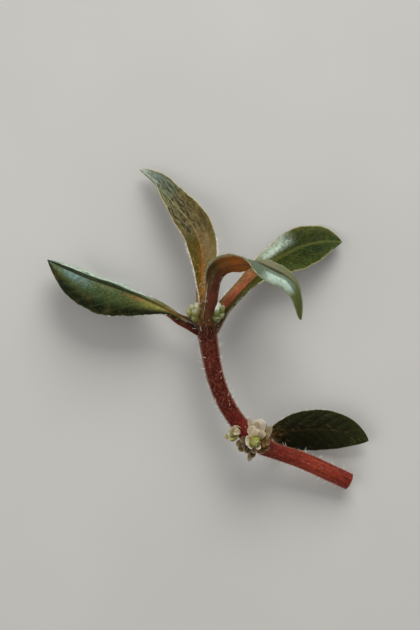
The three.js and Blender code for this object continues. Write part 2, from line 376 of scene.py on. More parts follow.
class Shader:
    """A node tree, with short calls that add nodes and join them."""

    def __init__(self, tree: Tree) -> None:
        """Keeps the tree that nodes go into."""
        self.tree = tree

    def node(self, kind: str, **settings: object) -> bpy.types.Node:
        """Adds a shader node and sets its properties.

        Args:
            kind: The node's kind, without the prefix.
            settings: Its properties.

        Returns:
            The node.
        """
        made = self.tree.nodes.new(f"ShaderNode{kind}")
        for key, value in settings.items():
            setattr(made, key, value)
        return made

    def put(self, value: object, socket: Socket) -> None:
        """Joins an output to a socket, or sets the socket to a plain value.

        Args:
            value: An output, or a plain value.
            socket: The input that it goes to.
        """
        if isinstance(value, Socket):
            self.tree.links.new(value, socket)
        else:
            socket.default_value = value

    def fill(self, made: bpy.types.Node, values: dict[str, object]) -> None:
        """Joins or sets several of a node's inputs by their names."""
        for key, value in values.items():
            self.put(value, made.inputs[key])

    def attribute(self, name: str) -> Socket:
        """One of the piece's own values."""
        return self.node("Attribute", attribute_name=name).outputs["Fac"]

    def place(self) -> Socket:
        """The place on the object."""
        return self.node("TexCoord").outputs["Object"]

    def facing(self) -> Socket:
        """How far the face turns away from the eye: 0 where it looks at it and 1 at the rim."""
        return self.node("LayerWeight").outputs["Facing"]

    def math(self, operation: str, *values: object) -> Socket:
        """Works out a number from numbers.

        Args:
            operation: The node's operation.
            values: Its numbers.

        Returns:
            The result.
        """
        made = self.node("Math", operation=operation)
        for value, socket in zip(values, made.inputs):
            self.put(value, socket)
        return made.outputs[0]

    def times(self, first: object, *others: object) -> Socket:
        """Multiplies numbers.

        Args:
            first: The first number.
            others: The others.

        Returns:
            The product.
        """
        for value in others:
            first = self.math("MULTIPLY", first, value)
        return first

    def vector(self, *parts: object) -> Socket:
        """Joins up to three numbers into a vector.

        Args:
            parts: The numbers.

        Returns:
            The vector.
        """
        made = self.node("CombineXYZ")
        for value, socket in zip(parts, made.inputs):
            self.put(value, socket)
        return made.outputs[0]

    def span(self, value: object, low: float, high: float, new_low: float = 0.0,
             new_high: float = 1.0) -> Socket:
        """Carries a number from one span to another, smoothly and within its ends.

        Args:
            value: The number.
            low: Where the span starts.
            high: Where it ends.
            new_low: What the start becomes.
            new_high: What the end becomes.

        Returns:
            The result.
        """
        made = self.node("MapRange", interpolation_type="SMOOTHSTEP")
        for item, socket in zip((value, low, high, new_low, new_high), made.inputs):
            self.put(item, socket)
        return made.outputs[0]

    def mix(self, share: object, one: object, two: object, blend: str = "MIX") -> Socket:
        """Mixes two colours.

        Args:
            share: How much of the second one is taken.
            one: The first colour.
            two: The second colour.
            blend: How they are mixed.

        Returns:
            The result.
        """
        made = self.node("Mix", data_type="RGBA", blend_type=blend)
        for value, socket in zip((share, one, two), (made.inputs[0], made.inputs[6], made.inputs[7])):
            self.put(value, socket)
        return made.outputs[2]

    def over(self, colour: object, tint: Tint, *masks: object) -> Socket:
        """Lays a tint over a colour, as far as its share and the masks let it."""
        return self.mix(self.times(masks[0], tint.share, *masks[1:]), colour, srgb(*tint.colour))

    def ramp(self, share: object, marks: Stops) -> Socket:
        """A colour that changes through stops, each a place from 0 to 1 and a display colour.

        Args:
            share: The place.
            marks: The stops.

        Returns:
            The colour.
        """
        made = self.node("ValToRGB")
        made.color_ramp.interpolation = "EASE"
        elements = made.color_ramp.elements
        while len(elements) < len(marks):
            elements.new(0.5)
        for element, (place, *colour) in zip(elements, marks):
            element.position, element.color = place, srgb(*colour)
        self.put(share, made.inputs[0])
        return made.outputs[0]

    def noise(self, vector: object, scale: object, detail: float = 3.0, rough: float = 0.55) -> Socket:
        """Smooth noise of about 0.2 to 0.8.

        Args:
            vector: The place.
            scale: Its scale.
            detail: How many octaves it has.
            rough: How strong the finer ones are.

        Returns:
            The result.
        """
        made = self.node("TexNoise")
        self.fill(made, {"Vector": vector, "Scale": scale, "Detail": detail, "Roughness": rough})
        return made.outputs["Fac"]

    def cells(self, vector: object, scale: object, feature: str = "DISTANCE_TO_EDGE") -> Socket:
        """The distance to the seams between scattered cells, or to their middles.

        Args:
            vector: The place.
            scale: Their scale.
            feature: What is measured.

        Returns:
            The distance.
        """
        made = self.node("TexVoronoi", feature=feature)
        self.fill(made, {"Vector": vector, "Scale": scale})
        return made.outputs["Distance"]

    def group(self, tree: Tree, **values: object) -> bpy.types.NodeOutputs:
        """Adds a shared effect with its own values.

        Args:
            tree: The effect.
            values: Its values.

        Returns:
            The effect's outputs.
        """
        made = self.node("Group", node_tree=tree)
        self.fill(made, {key.capitalize(): value for key, value in values.items()})
        return made.outputs


SOCKET_KINDS = {"Place": "Vector", "Shade": "Color"}


def new_group(name: str, inputs: tuple[str, ...], outputs: tuple[str, ...]) -> tuple[
        Shader, bpy.types.NodeOutputs, bpy.types.NodeInputs]:
    """Starts a shared effect as a shader node group. Its sockets take numbers, but for place and shade.

    Args:
        name: The effect's name.
        inputs: The names of its input sockets.
        outputs: The names of its output sockets.

    Returns:
        The group's shader helper, the values given to it and the sockets that its results go to.
    """
    tree = bpy.data.node_groups.new(name, "ShaderNodeTree")
    for way, keys in (("INPUT", inputs), ("OUTPUT", outputs)):
        for key in keys:
            kind = SOCKET_KINDS.get(key, "Float")
            tree.interface.new_socket(key, in_out=way, socket_type=f"NodeSocket{kind}")
    return Shader(tree), tree.nodes.new("NodeGroupInput").outputs, tree.nodes.new("NodeGroupOutput").inputs


def pebble_group() -> Tree:
    """Small raised cells between sunken seams, warped by as many millimetres as it is told.

    Returns:
        The effect.
    """
    shader, given, out = new_group("pebbles", ("Place", "Scale", "Warp"), ("Seam", "Height"))
    bend = shader.node("TexNoise")
    shader.fill(bend, {"Vector": given["Place"], "Scale": given["Scale"]})
    moved = shader.node("VectorMath", operation="MULTIPLY_ADD")
    warp = shader.times(given["Warp"], MM)
    for value, socket in zip((bend.outputs["Color"], warp, given["Place"]), moved.inputs):
        shader.put(value, socket)
    distance = shader.cells(moved.outputs[0], given["Scale"])
    shader.put(shader.span(distance, 0.0, 0.42), out["Height"])
    shader.put(shader.span(distance, 0.16, 0.0), out["Seam"])
    return shader.tree


def tone_group() -> Tree:
    """Broad patches, and a shade that varies a little from place to place.

    Returns:
        The effect.
    """
    shader, given, out = new_group("tone", ("Place", "Scale"), ("Patch", "Shade"))
    broad = shader.noise(given["Place"], given["Scale"], detail=4.0, rough=0.5)
    fine = shader.noise(given["Place"], shader.times(given["Scale"], 3.1), rough=0.5)
    shader.put(shader.span(broad, 0.46, 0.66), out["Patch"])
    shader.put(shader.span(fine, 0.3, 0.7, 0.8, 1.2), out["Shade"])
    return shader.tree


def grain_group() -> Tree:
    """The finest net of veins, as small cells that may stretch along the leaf, with specks and fibres.

    Returns:
        The effect.
    """
    shader, given, out = new_group("grain", ("Run", "Out", "Scale", "Stretch"),
                                   ("Seam", "Height", "Speck", "Fibre"))
    flat = shader.vector(shader.times(given["Run"], given["Stretch"]), given["Out"])
    seams = shader.cells(flat, given["Scale"])
    middles = shader.cells(flat, given["Scale"], "F1")
    shader.put(shader.span(seams, 0.22, 0.02), out["Seam"])
    shader.put(shader.span(seams, 0.0, 0.4), out["Height"])
    shader.put(shader.span(middles, 0.3, 0.12), out["Speck"])
    drawn = shader.vector(shader.times(given["Run"], 0.5), shader.times(given["Out"], 7.0))
    shader.put(shader.noise(drawn, 1.0), out["Fibre"])
    return shader.tree


def streak_group() -> Tree:
    """Fine lengthwise streaks from a piece's own run along it and turn around it.

    Returns:
        The effect.
    """
    shader, given, out = new_group("streaks", ("Run", "Turn", "Across", "Along"), ("Value",))
    angle = shader.times(given["Turn"], math.tau)
    around = (shader.times(shader.math(wave, angle), given["Across"]) for wave in ("COSINE", "SINE"))
    place = shader.vector(shader.times(given["Run"], given["Along"]), *around)
    shader.put(shader.noise(place, 1.0), out["Value"])
    return shader.tree


@dataclass(frozen=True)
class Effects:
    """The shader node groups that several finishes use."""

    pebbles: Tree
    tone: Tree
    grain: Tree
    streaks: Tree


def new_material(name: str) -> tuple[Material, Shader, bpy.types.Node]:
    """Starts a material.

    Args:
        name: The material's name.

    Returns:
        The material, its shader helper and its main shader.
    """
    material = bpy.data.materials.new(name)
    material.use_nodes = True
    material.node_tree.nodes.clear()
    shader = Shader(material.node_tree)
    surface = shader.node("BsdfPrincipled")
    shader.put(surface.outputs[0], shader.node("OutputMaterial").inputs["Surface"])
    return material, shader, surface


def bump(shader: Shader, surface: bpy.types.Node, height: object, depth: float) -> None:
    """Gives a surface fine relief.

    Args:
        shader: The material's shader helper.
        surface: Its main shader.
        height: The height, from 0 to 1.
        depth: What a height of 1 stands for, in millimetres.
    """
    made = shader.node("Bump")
    shader.fill(made, {"Distance": depth * MM, "Strength": 1.0, "Height": height})
    shader.put(made.outputs[0], surface.inputs["Normal"])


@dataclass(frozen=True)
class Edge(Tint):
    """A tint that comes in over a half blade between two shares of its width, beyond a share of its length.

    A glancing one is a sheen, which only shows where the face is seen at a low angle.
    """

    start: float = 0.4
    full: float = 0.92
    beyond: float = -0.2
    glancing: bool = False
    fade: float = 0.15
    glance: tuple[float, float] = (0.58, 0.8)

    def cover(self, shader: Shader, along: Socket, side: Socket, facing: Socket) -> Socket:
        """How far the tint has come in at each place.

        Args:
            shader: The material's shader helper.
            along: The share of the leaf's length.
            side: The share of its width, above 0 on this edge's half.
            facing: How far the face turns away from the eye.

        Returns:
            The cover, from 0 to 1.
        """
        cover = shader.times(shader.span(side, self.start, self.full),
                             shader.span(along, self.beyond, self.beyond + self.fade))
        return shader.times(cover, shader.span(facing, *self.glance)) if self.glancing else cover


@dataclass(frozen=True)
class Area(Tint):
    """A tint over a soft-edged area of the upper face.

    along and side each give the area's middle and reach, as shares of the leaf's length and width. broken is
    0 for an even area and 1 for one that breaks up into patches. level is the share of the reach over which
    it is at its fullest.
    """

    along: tuple[float, float]
    side: tuple[float, float]
    broken: float = 0.0
    level: float = 0.0

    def cover(self, shader: Shader, along: Socket, side: Socket, patch: Socket) -> Socket:
        """How much of the area shows at each place.

        Args:
            shader: The material's shader helper.
            along: The share of the leaf's length.
            side: The share of its width.
            patch: The patches that the area breaks up into.

        Returns:
            The cover, from 0 to 1.
        """
        cover = shader.math("ADD", shader.times(patch, self.broken), 1.0 - self.broken)
        for value, (middle, reach) in ((along, self.along), (side, self.side)):
            for way in (-reach, reach):
                cover = shader.times(cover, shader.span(value, middle + way, middle + self.level * way))
        return cover


@dataclass(frozen=True)
class BladeFinish:
    """A leaf's finish.

    left and right are the colours from base to tip of the upper face's two halves. under is those of the
    lower face, and under_right those of its right half where it differs. rib is the midrib's colours from
    base to tip. The tints go over them: towards each margin, on the side veins, on the margin itself, on the
    seams between the cells, in patches, in specks and in areas. down is a painted sheen of the pale down on
    the leaf's stalk, which shows where it turns away from the viewer. mottle is how strongly the shade
    varies, fine_seams how strong the finest net is against the seams, grain_depth how deep it is in
    millimetres, and wear what patches add to the roughness.
    """

    left: Stops
    right: Stops
    under: Stops
    rib: Stops
    rib_share: float
    under_rib: Tint
    left_edge: Edge
    right_edge: Edge
    vein: Tint
    margin: Tint
    seam: Tint
    patch: Tint
    speck: Tint
    under_right: Stops = ()
    areas: tuple[Area, ...] = ()
    mottle: float = 1.0
    roughness: float = 0.42
    shine: float = 0.08
    coat: float = 0.02
    down: Tint = Tint((210, 184, 158), 0.7)
    fine_seams: float = 0.9
    grain_depth: float = 0.03
    wear: float = 0.16

    def material(self, name: str, effects: Effects) -> Material:
        """Makes the leaf's material.

        Args:
            name: The material's name.
            effects: The shared effects.

        Returns:
            The material.
        """
        material, shader, surface = new_material(name)
        along, face, side, blade = (shader.attribute(key) for key in ("along", "face", "side", "blade"))
        facing = shader.facing()
        tone = shader.group(effects.tone, place=shader.place(), scale=700.0)
        grain = shader.group(effects.grain, run=shader.attribute("run"), out=shader.attribute("out"),
                             scale=5.0, stretch=0.55)
        faces = ((self.left, self.right), (self.under, self.under_right or self.under))
        half = shader.span(side, -0.12, 0.12)
        upper, under = (shader.mix(half, shader.ramp(along, right), shader.ramp(along, left))
                        for left, right in faces)
        for area in self.areas:
            upper = shader.over(upper, area, area.cover(shader, along, side, tone["Patch"]))
        for edge, away in ((self.left_edge, side), (self.right_edge, shader.times(side, -1.0))):
            upper = shader.over(upper, edge, edge.cover(shader, along, away, facing))

        colour = shader.mix(face, under, upper)
        seam, vein, rib, rim = (shader.attribute(key) for key in ("seam", "vein", "rib", "rim"))
        for tint, *masks in ((self.patch, tone["Patch"]), (self.seam, seam),
                             (self.seam, seam, grain["Seam"], self.fine_seams),
                             (self.speck, grain["Speck"]), (self.vein, vein)):
            colour = shader.over(colour, tint, *masks)
        above = shader.mix(shader.times(rib, self.rib_share), colour, shader.ramp(along, self.rib))
        colour = shader.mix(face, shader.over(colour, self.under_rib, rib), above)
        colour = shader.over(colour, self.margin, rim)
        # Painted sheen of the stalk's pale down, where the face turns away from the eye.
        colour = shader.over(colour, self.down, shader.span(along, 0.26, 0.1), shader.span(facing, 0.4, 0.8))
        colour = shader.mix(self.mottle, colour, tone["Shade"], "MULTIPLY")
        fibre = shader.span(grain["Fibre"], 0.35, 0.65, 0.72, 1.25)
        colour = shader.mix(1.0, colour, shader.mix(blade, fibre, WHITE), "MULTIPLY")

        bump(shader, surface, shader.times(grain["Height"], blade), self.grain_depth)
        shader.fill(surface, {
            "Base Color": colour,
            "Roughness": shader.math("ADD", shader.times(tone["Patch"], self.wear), self.roughness),
            "Specular IOR Level": self.shine, "Coat Weight": self.coat, "Coat Roughness": 0.25,
            "Subsurface Weight": 0.12, "Subsurface Radius": (0.9, 0.6, 0.2), "Subsurface Scale": 0.5 * MM,
        })
        return material


@dataclass(frozen=True)
class StemFinish:
    """The stem's finish.

    skin is its colours from the upper end to the cut. Over them lie pale and dark streaks, a bloom in small
    patches, and a painted sheen of the down where the stem turns away from the viewer. cut is the colours of
    the cut face from its middle outwards: pith, rind and skin.
    """

    skin: Stops
    cut: Stops
    streak: Tint
    dark: Tint
    bloom: Tint
    down: Tint
    roughness: float
    grain_depth: float = 0.12

    def material(self, name: str, effects: Effects) -> Material:
        """Makes the stem's material.

        Args:
            name: The material's name.
            effects: The shared effects.

        Returns:
            The material.
        """
        material, shader, surface = new_material(name)
        place, run, turn = shader.place(), shader.attribute("run"), shader.attribute("turn")
        fine = shader.group(effects.streaks, run=run, turn=turn, across=7.0, along=0.9)["Value"]
        broad = shader.group(effects.streaks, run=run, turn=turn, across=4.0, along=0.35)["Value"]
        tone = shader.group(effects.tone, place=place, scale=600.0)
        colour = shader.ramp(shader.attribute("along"), self.skin)
        colour = shader.over(colour, self.streak, shader.span(fine, 0.52, 0.72))
        colour = shader.over(colour, self.dark, shader.span(broad, 0.52, 0.36))
        colour = shader.over(colour, self.bloom, shader.span(shader.noise(place, 2400.0), 0.52, 0.66))
        colour = shader.mix(1.0, colour, tone["Shade"], "MULTIPLY")
        # Painted sheen of the down towards the stem's rim, as the eye sees it.
        colour = shader.over(colour, self.down, shader.span(shader.facing(), 0.55, 0.9))
        core = shader.ramp(shader.attribute("radial"), self.cut)
        grain = shader.math("ADD", fine, shader.times(shader.noise(place, 5000.0), 0.4))
        bump(shader, surface, grain, self.grain_depth)
        shader.fill(surface, {
            "Base Color": shader.mix(shader.attribute("cut"), colour, core),
            "Roughness": shader.span(shader.noise(place, 900.0), 0.3, 0.7, self.roughness - 0.1,
                                     self.roughness + 0.12),
            "Specular IOR Level": 0.08, "Sheen Weight": 0.6, "Sheen Roughness": 0.3,
            "Sheen Tint": srgb(*self.down.colour),
            "Subsurface Weight": 0.1, "Subsurface Radius": (1.0, 0.35, 0.2), "Subsurface Scale": 0.5 * MM,
        })
        return material


@dataclass(frozen=True)
class HairFinish:
    """A hair's finish: its colour at the foot and at the tip, and how much it covers."""

    foot: Rgb
    tip: Rgb
    cover: float

    def material(self, name: str) -> Material:
        """Makes the hairs' material.

        Args:
            name: The material's name.

        Returns:
            The material.
        """
        material, shader, surface = new_material(name)
        marks = ((0.0, *self.foot), (0.3, *self.tip), (1.0, *self.tip))
        colour = shader.ramp(shader.attribute("along"), marks)
        tone = shader.span(shader.noise(shader.place(), 2500.0, detail=2.0), 0.3, 0.7, 0.8, 1.15)
        shader.fill(surface, {"Base Color": shader.mix(1.0, colour, tone, "MULTIPLY"), "Roughness": 0.35,
                              "Alpha": self.cover})
        return material


@dataclass(frozen=True)
class ScaleFinish:
    """A papery scale's finish.

    pale, deep and green are its three tints, each from base to tip, and accent is one more colour. Each
    scale says how much it takes of the last three. nerve is the colour of its nerves.
    """

    pale: Stops
    deep: Stops
    green: Stops
    accent: Rgb
    nerve: Rgb
    roughness: float
    grain_depth: float = 0.01

    def material(self, name: str, effects: Effects) -> Material:
        """Makes the scales' material.

        Args:
            name: The material's name.
            effects: The shared effects.

        Returns:
            The material.
        """
        material, shader, surface = new_material(name)
        place = shader.place()
        along, deep, green, accent, nerve = (
            shader.attribute(key) for key in ("along", "deep", "green", "accent", "nerve"))
        pebbles = shader.group(effects.pebbles, place=place, scale=4200.0, warp=0.1)
        tone = shader.group(effects.tone, place=place, scale=500.0)
        colour = shader.mix(deep, shader.ramp(along, self.pale), shader.ramp(along, self.deep))
        colour = shader.over(colour, Tint(self.nerve, 0.3), nerve)
        colour = shader.over(colour, Tint(self.nerve, 0.08), pebbles["Seam"])
        colour = shader.mix(green, colour, shader.ramp(along, self.green))
        colour = shader.mix(accent, colour, srgb(*self.accent))
        bump(shader, surface, pebbles["Height"], self.grain_depth)
        shader.fill(surface, {
            "Base Color": shader.mix(0.4, colour, tone["Shade"], "MULTIPLY"),
            "Roughness": shader.span(shader.noise(place, 2400.0), 0.3, 0.7, self.roughness - 0.12,
                                     self.roughness + 0.12),
            "Specular IOR Level": 0.2,
            "Subsurface Weight": 0.5, "Subsurface Radius": (1.0, 0.8, 0.5), "Subsurface Scale": 0.6 * MM,
        })
        return material


@dataclass(frozen=True)
class HalfBlade:
    """One side of a leaf: its widest reach to the margin, how it narrows, and its curl in degrees."""

    half: float
    base_power: float
    tip_power: float
    curl: float

    def width(self, share: Array) -> Array:
        """The reach at shares of the blade: share and the rest, each to its power, scaled to the widest.

        Args:
            share: The shares.

        Returns:
            The reach, in millimetres.
        """
        widest = self.base_power / (self.base_power + self.tip_power)
        most = widest**self.base_power * (1 - widest) ** self.tip_power
        return self.half * share**self.base_power * (1 - share) ** self.tip_power / most


class Swells(Enum):
    """Kinds of noise on a leaf: their swells' length and width in millimetres, and what the seed gains."""

    CELL_BEND = (1.3, 1.1, 5)
    CELL_VARY = (1.7, 0.9, 9)
    CREASE_WAVER = (1.1, 0.7, 6)
    CREASE_BREAK = (0.75, 0.4, 3)
    CRUMPLE = (2.1, 1.0, 2)


@dataclass(frozen=True)
class Veins:
    """The relief of a leaf: its side veins, and the cells that its finest veins enclose.

    count is the number of side veins on each side, between which the blade puffs up. All widths and depths
    are in millimetres. cell is a cell's length and width. The cells fade in between the shares cells_start
    and cells_full of the leaf's length and are gone at cells_end, and cells_right is how strong they are on
    the right half. wrinkle is how strongly long creases cut them. rim is the width of the margin's rim, and
    early_rim what it gains on the right half before the middle of the leaf. bend is what the side veins run
    on by for each square millimetre outwards, and slant their width across against along the leaf. rib_taper
    is how much of its width the midrib loses.
    """

    count: int = 8
    puff: float = 0.09
    groove: float = 0.06
    cell: tuple[float, float] = (0.8, 0.4)
    cell_depth: float = 0.05
    cells_start: float = 0.2
    cells_full: float = 0.5
    cells_end: float = 1.2
    cells_right: float = 1.0
    wrinkle: float = 0.0
    rib_half: float = 0.2
    rib_groove: float = 0.12
    rim: float = 0.2
    early_rim: float = 0.0
    seed: int = 1
    bend: float = 0.09
    slant: float = 0.7
    vein_half: float = 0.14
    rib_groove_half: float = 0.28
    rib_taper: float = 0.55
    crease_gap: float = 0.48
    crumple: float = 0.1
    fade: float = 0.12

    def noise(self, run: Array, signed: Array, kind: Swells) -> Array:
        """Noise of a kind, from -1 to 1, at distances along the leaf and from its midrib."""
        long, wide, number = kind.value
        return smooth_noise(run / long, signed / wide, self.seed + number)

    def cells(self, run: Array, ahead: Array, signed: Array) -> Array:
        """The pattern of cells and creases, 1 on a cell and 0 on a seam.

        Creases lie where the cosine of the distance from the midrib, which wavers by noise, is high. Other
        noise breaks them up.

        Args:
            run: The distance along the leaf, in millimetres.
            ahead: The same, less what the side veins run on by.
            signed: The distance from the midrib, below 0 on the right.

        Returns:
            The pattern at each place.
        """
        long, wide = self.cell
        bend = 0.5 * self.noise(run, signed, Swells.CELL_BEND)
        cells = cell_height(0.7 * run / long + 0.3 * ahead / long + bend, signed / wide + bend, self.seed)
        waver = 0.8 * self.noise(run, signed, Swells.CREASE_WAVER)
        crease = smooth_step(-0.2, 0.6, np.cos(math.tau * (signed / self.crease_gap + waver)))
        crease = crease * smooth_step(-0.5, -0.05, self.noise(run, signed, Swells.CREASE_BREAK))
        return np.minimum(1 - (1 - 0.6 * self.wrinkle) * (1 - cells), 1 - self.wrinkle * crease)

    def strength(self, along: Array, side: Array, run: Array, signed: Array, blade: Array) -> Array:
        """How strongly the cells show.

        The strength comes in and fades out along the leaf, falls towards the margin and on the stalk, and
        varies by slow noise.

        Args:
            along: Share of the leaf's length.
            side: Share of the width, from -1 to 1.
            run: The distance along the leaf, in millimetres.
            signed: The distance from the midrib, below 0 on the right.
            blade: 0 on the stalk, rising to 1 on the full blade.

        Returns:
            The strength, from 0 to 1.1.
        """
        whole = (1 - np.abs(side) ** 6) * np.minimum(1, blade * (1 + 4 * self.wrinkle))
        come = smooth_step(self.cells_start, self.cells_full, along)
        gone = smooth_step(self.cells_end - self.fade, self.cells_end, along)
        vary = 0.75 + 0.3 * self.wrinkle + 0.4 * self.noise(run, signed, Swells.CELL_VARY)
        return come * whole * np.where(side < 0, self.cells_right, 1.0) * (1 - gone) * np.minimum(vary, 1.1)

    def rim_width(self, along: Array, side: Array) -> Array:
        """The width of the margin's rim, which is more in one stretch of the right half."""
        early = smooth_step(0.24, 0.36, along) - smooth_step(0.42, 0.52, along)
        return self.rim + self.early_rim * np.where(side < 0, early, 0)


@dataclass
class HairRoots:
    """Where hairs grow: their feet, the ways that they leave, and the ways that they bend."""

    feet: Array
    lean: Array
    bend: Array


@dataclass
class Leaf:
    """A leaf on a midrib, whose two half blades fold, curl and ripple.

    A station is a place on the midrib, the direction that the upper face looks in, and the angles in degrees
    that the left and the right half rise from the midrib. The leaf's stalk takes the share petiole of its
    length, and behind the first station it runs on into the stem for the length of its root. rib_depth is
    the depth of the midrib at the base and the tip. fringe is the number of hairs on the margins and the
    share of the length that they reach. lamina is the blade's thickness, of which the tip loses the share
    thinner. The stalk widens by the share flare at its foot. The side veins stand out vein_below times as
    far below as they are sunk above. ripple is the height of the margin's ripple, which has ripple_turns
    waves. All lengths are in millimetres.
    """

    name: str
    slot: str
    stations: tuple[tuple[float, ...], ...]
    petiole: float
    stalk_half: float
    rib_depth: tuple[float, float]
    left: HalfBlade
    right: HalfBlade
    finish: BladeFinish
    veins: Veins = Veins()
    ripple: float = 0.2
    root: float = 0.9
    fringe: tuple[int, float] = (60, 0.6)
    lamina: float = 0.3
    thinner: float = 0.8
    flare: float = 0.2
    flare_length: float = 0.035
    blade_begins: float = 0.25
    midrib_share: float = 0.05
    vein_below: float = 1.6
    margin_hairs_at: float = 0.995
    face_hairs_to: float = 0.9
    ripple_turns: float = 4.0
    path: Path = field(init=False)

    # Each wave's height, its turns against the first one's, and its start on the right and the left half.
    WAVES = ((1.0, 1.0, 0.6, 2.4), (0.45, 2.3, 2.0, 0.3), (0.3, 5.7, 0.0, 1.1))
    ROWS = 330
    ACROSS = 79
    KEYS = ("along", "side", "run", "out", "face", "vein", "rib", "rim", "seam", "blade")

    def __post_init__(self) -> None:
        """Lays the midrib."""
        self.path = Path(self.stations)

    def relief(self, along: Array, side: Array, width: Array, blade: Array) -> dict[str, Array]:
        """Works out the relief of the blade's faces and the values that the finish reads.

        Side veins lie where the distance along the leaf, less the distance outwards and a share of its
        square, is a whole number of spacings. The blade puffs up between them as a cosine.

        Args:
            along: Share of the leaf's length.
            side: Share of the width, from -1 to 1.
            width: The reach from midrib to margin there, in millimetres.
            blade: 0 on the stalk, rising to 1 on the full blade.

        Returns:
            The height in millimetres, and the side vein, rib, seam and rim values.
        """
        veins = self.veins
        reach, signed = np.abs(side), side * width
        run, out = along * self.path.length, reach * width
        ahead = run - out - veins.bend * out**2
        spacing = self.path.length * (1 - self.petiole) / veins.count
        apart = ahead / spacing + np.where(side < 0, 0.0, 0.5)
        apart = apart - np.round(apart)
        inside = (1 - reach**6) * blade
        vein = bell(apart * spacing * veins.slant, veins.vein_half) * inside
        puff = (0.5 - 0.5 * np.cos(math.tau * apart)) * inside * smooth_step(0.05, 0.3, reach)
        rib_half = veins.rib_half * (1 - veins.rib_taper * np.clip(along, 0, 1))
        rib = 1 - smooth_step(0.7, 1.3, out / rib_half)
        strength = veins.strength(along, side, run, signed, blade) * (1 - rib)
        seam = (1 - veins.cells(run, ahead, signed)) * strength
        crumple = veins.crumple * veins.noise(run, signed, Swells.CRUMPLE)
        crumple = crumple * inside * smooth_step(0.1, 0.5, reach)
        height = (veins.puff * puff - veins.groove * vein + crumple - veins.cell_depth * seam
                  - veins.rib_groove * bell(out, veins.rib_groove_half) * blade)
        rim = smooth_step(-1.0, -0.35, (out - width) / veins.rim_width(along, side))
        return {"height": height, "vein": vein, "rib": rib, "seam": seam,
                "rim": rim * smooth_step(0.0, 0.2, blade)}

    def thickness(self, inner: Array, reach: Array, width: Array, taper: Array) -> Array:
        """The thickness of the blade, which grows to a rounded keel under the midrib.

        The lamina's share is the square root of 1 less the tenth power of the reach. The keel's is the root
        of 1 less the square of 1 - k, where k falls evenly from 1 at the midrib to 0 at the keel's side.

        Args:
            inner: Share of the leaf's length.
            reach: Share of the width, from 0 to 1.
            width: The reach from midrib to margin there, in millimetres.
            taper: How far the root closes, from 1 outside the stem.

        Returns:
            The thickness in millimetres.
        """
        rib = self.rib_depth[0] + (self.rib_depth[1] - self.rib_depth[0]) * np.minimum(1, 1.6 * inner)
        edge = np.sqrt(np.clip(1 - reach**10, 0.02, 1))
        keel = np.clip(1 - reach * width / (0.75 * self.stalk_half + 0.4), 0, 1)
        round_keel = np.sqrt(np.clip(1 - (1 - keel) ** 2, 0, 1))
        thick = self.lamina * edge + (rib - self.lamina) * round_keel
        return thick * taper * (1 - self.thinner * inner**14)

    def shape(self, along: Array, side: Array, below: Array) -> dict[str, Array]:
        """Works out points of the leaf's skin.

        Each half blade leaves the midrib at its fold angle and turns by its curl on the way out, so a point
        lies at (sin(fold + curl s) - sin fold) / curl across and (cos fold - cos(fold + curl s)) / curl up,
        times the width. The margin ripples with the square of the share of the width. The lower face hangs
        from the upper by the blade's thickness.

        Args:
            along: Share of the leaf's length, below 0 in the root and 1 at the tip.
            side: Share of the width, from -1 at the right margin to 1 at the left.
            below: 0 on the upper face and 1 on the lower.

        Returns:
            The points, their outward directions and the values that the finish reads.
        """
        inner = np.maximum(along, 0)
        depth = np.minimum(along, 0) * self.path.length
        taper = np.sqrt(np.clip(1 - (depth / self.root) ** 2, 0.01, 1))
        forward = self.path.forward(inner)
        face = self.path.at(inner, 3)
        folds = np.radians(self.path.at(inner, 6, 2))
        up = unit(face - (face * forward).sum(-1, keepdims=True) * forward)
        outward = np.cross(up, forward)
        reach = np.abs(side)
        right = side < 0

        share = np.clip((inner - self.petiole) / (1 - self.petiole), 0, 1)
        reach_out = np.where(right, self.right.width(share), self.left.width(share))
        stalk = self.stalk_half * (1 - inner**3) * (1 + self.flare * np.exp(-inner / self.flare_length))
        width = np.hypot(stalk, reach_out) * taper
        blade = smooth_step(self.blade_begins, 1.0, reach_out / self.left.half)
        fold = np.where(right, folds[..., 1], folds[..., 0])
        curl = np.radians(np.where(right, self.right.curl, self.left.curl)) * np.sin(np.pi * inner) - 1e-4
        angle = fold + curl * reach
        across = np.sign(side) * width * (np.sin(angle) - np.sin(fold)) / curl
        rise = width * (np.cos(fold) - np.cos(angle)) / curl
        turns = math.tau * self.ripple_turns * along
        wave = sum(high * np.sin(times * turns + np.where(right, on_right, on_left))
                   for high, times, on_right, on_left in self.WAVES)
        rise = rise + self.ripple * wave * reach**2 * blade

        relief = self.relief(along, side, width, blade)
        half = np.tanh(side / self.midrib_share)
        normal = np.cos(angle)[..., None] * up - (half * np.sin(angle))[..., None] * outward
        thick = self.thickness(inner, reach, width, taper)
        thick = thick + self.vein_below * self.veins.groove * relief["vein"]
        height = relief["height"] - thick * (below > 0)
        middle = self.path.at(inner) + depth[..., None] * forward
        points = middle + across[..., None] * outward + rise[..., None] * up + height[..., None] * normal
        return {
            **relief,
            "points": points,
            "normal": normal * np.where(below > 0, -1.0, 1.0)[..., None],
            "outward": outward * np.sign(side)[..., None],
            "forward": forward,
            "along": inner,
            "side": side,
            "run": along * self.path.length,
            "out": side * width,
            "face": 1.0 - below,
            "blade": blade,
        }

    def skin(self) -> Skin:
        """The leaf's closed skin: rows along it, each around both faces.

        Returns:
            The skin.
        """
        root = 0.995 * self.root / self.path.length
        steps = np.linspace(0, 1, self.ROWS)
        along = (-root + (0.9985 + root) * (1 - (1 - steps) ** 1.3))[:, None]
        shape = self.shape(*np.broadcast_arrays(along, *both_faces(self.ACROSS)))
        tip = self.path.at(np.array([1.0])) - 0.1 * self.lamina * shape["normal"][-1:, self.ACROSS // 2]
        return Skin(shape["points"][None], shape["points"][:1].mean(1), tip,
                    {key: shape[key][None] for key in self.KEYS})

    def build(self, effects: Effects) -> bpy.types.Object:
        """Makes the leaf in place of its CAD node."""
        return make_piece(f"{self.name}_blade", [self.skin()], self.finish.material(self.name, effects),
                          (self.name,))

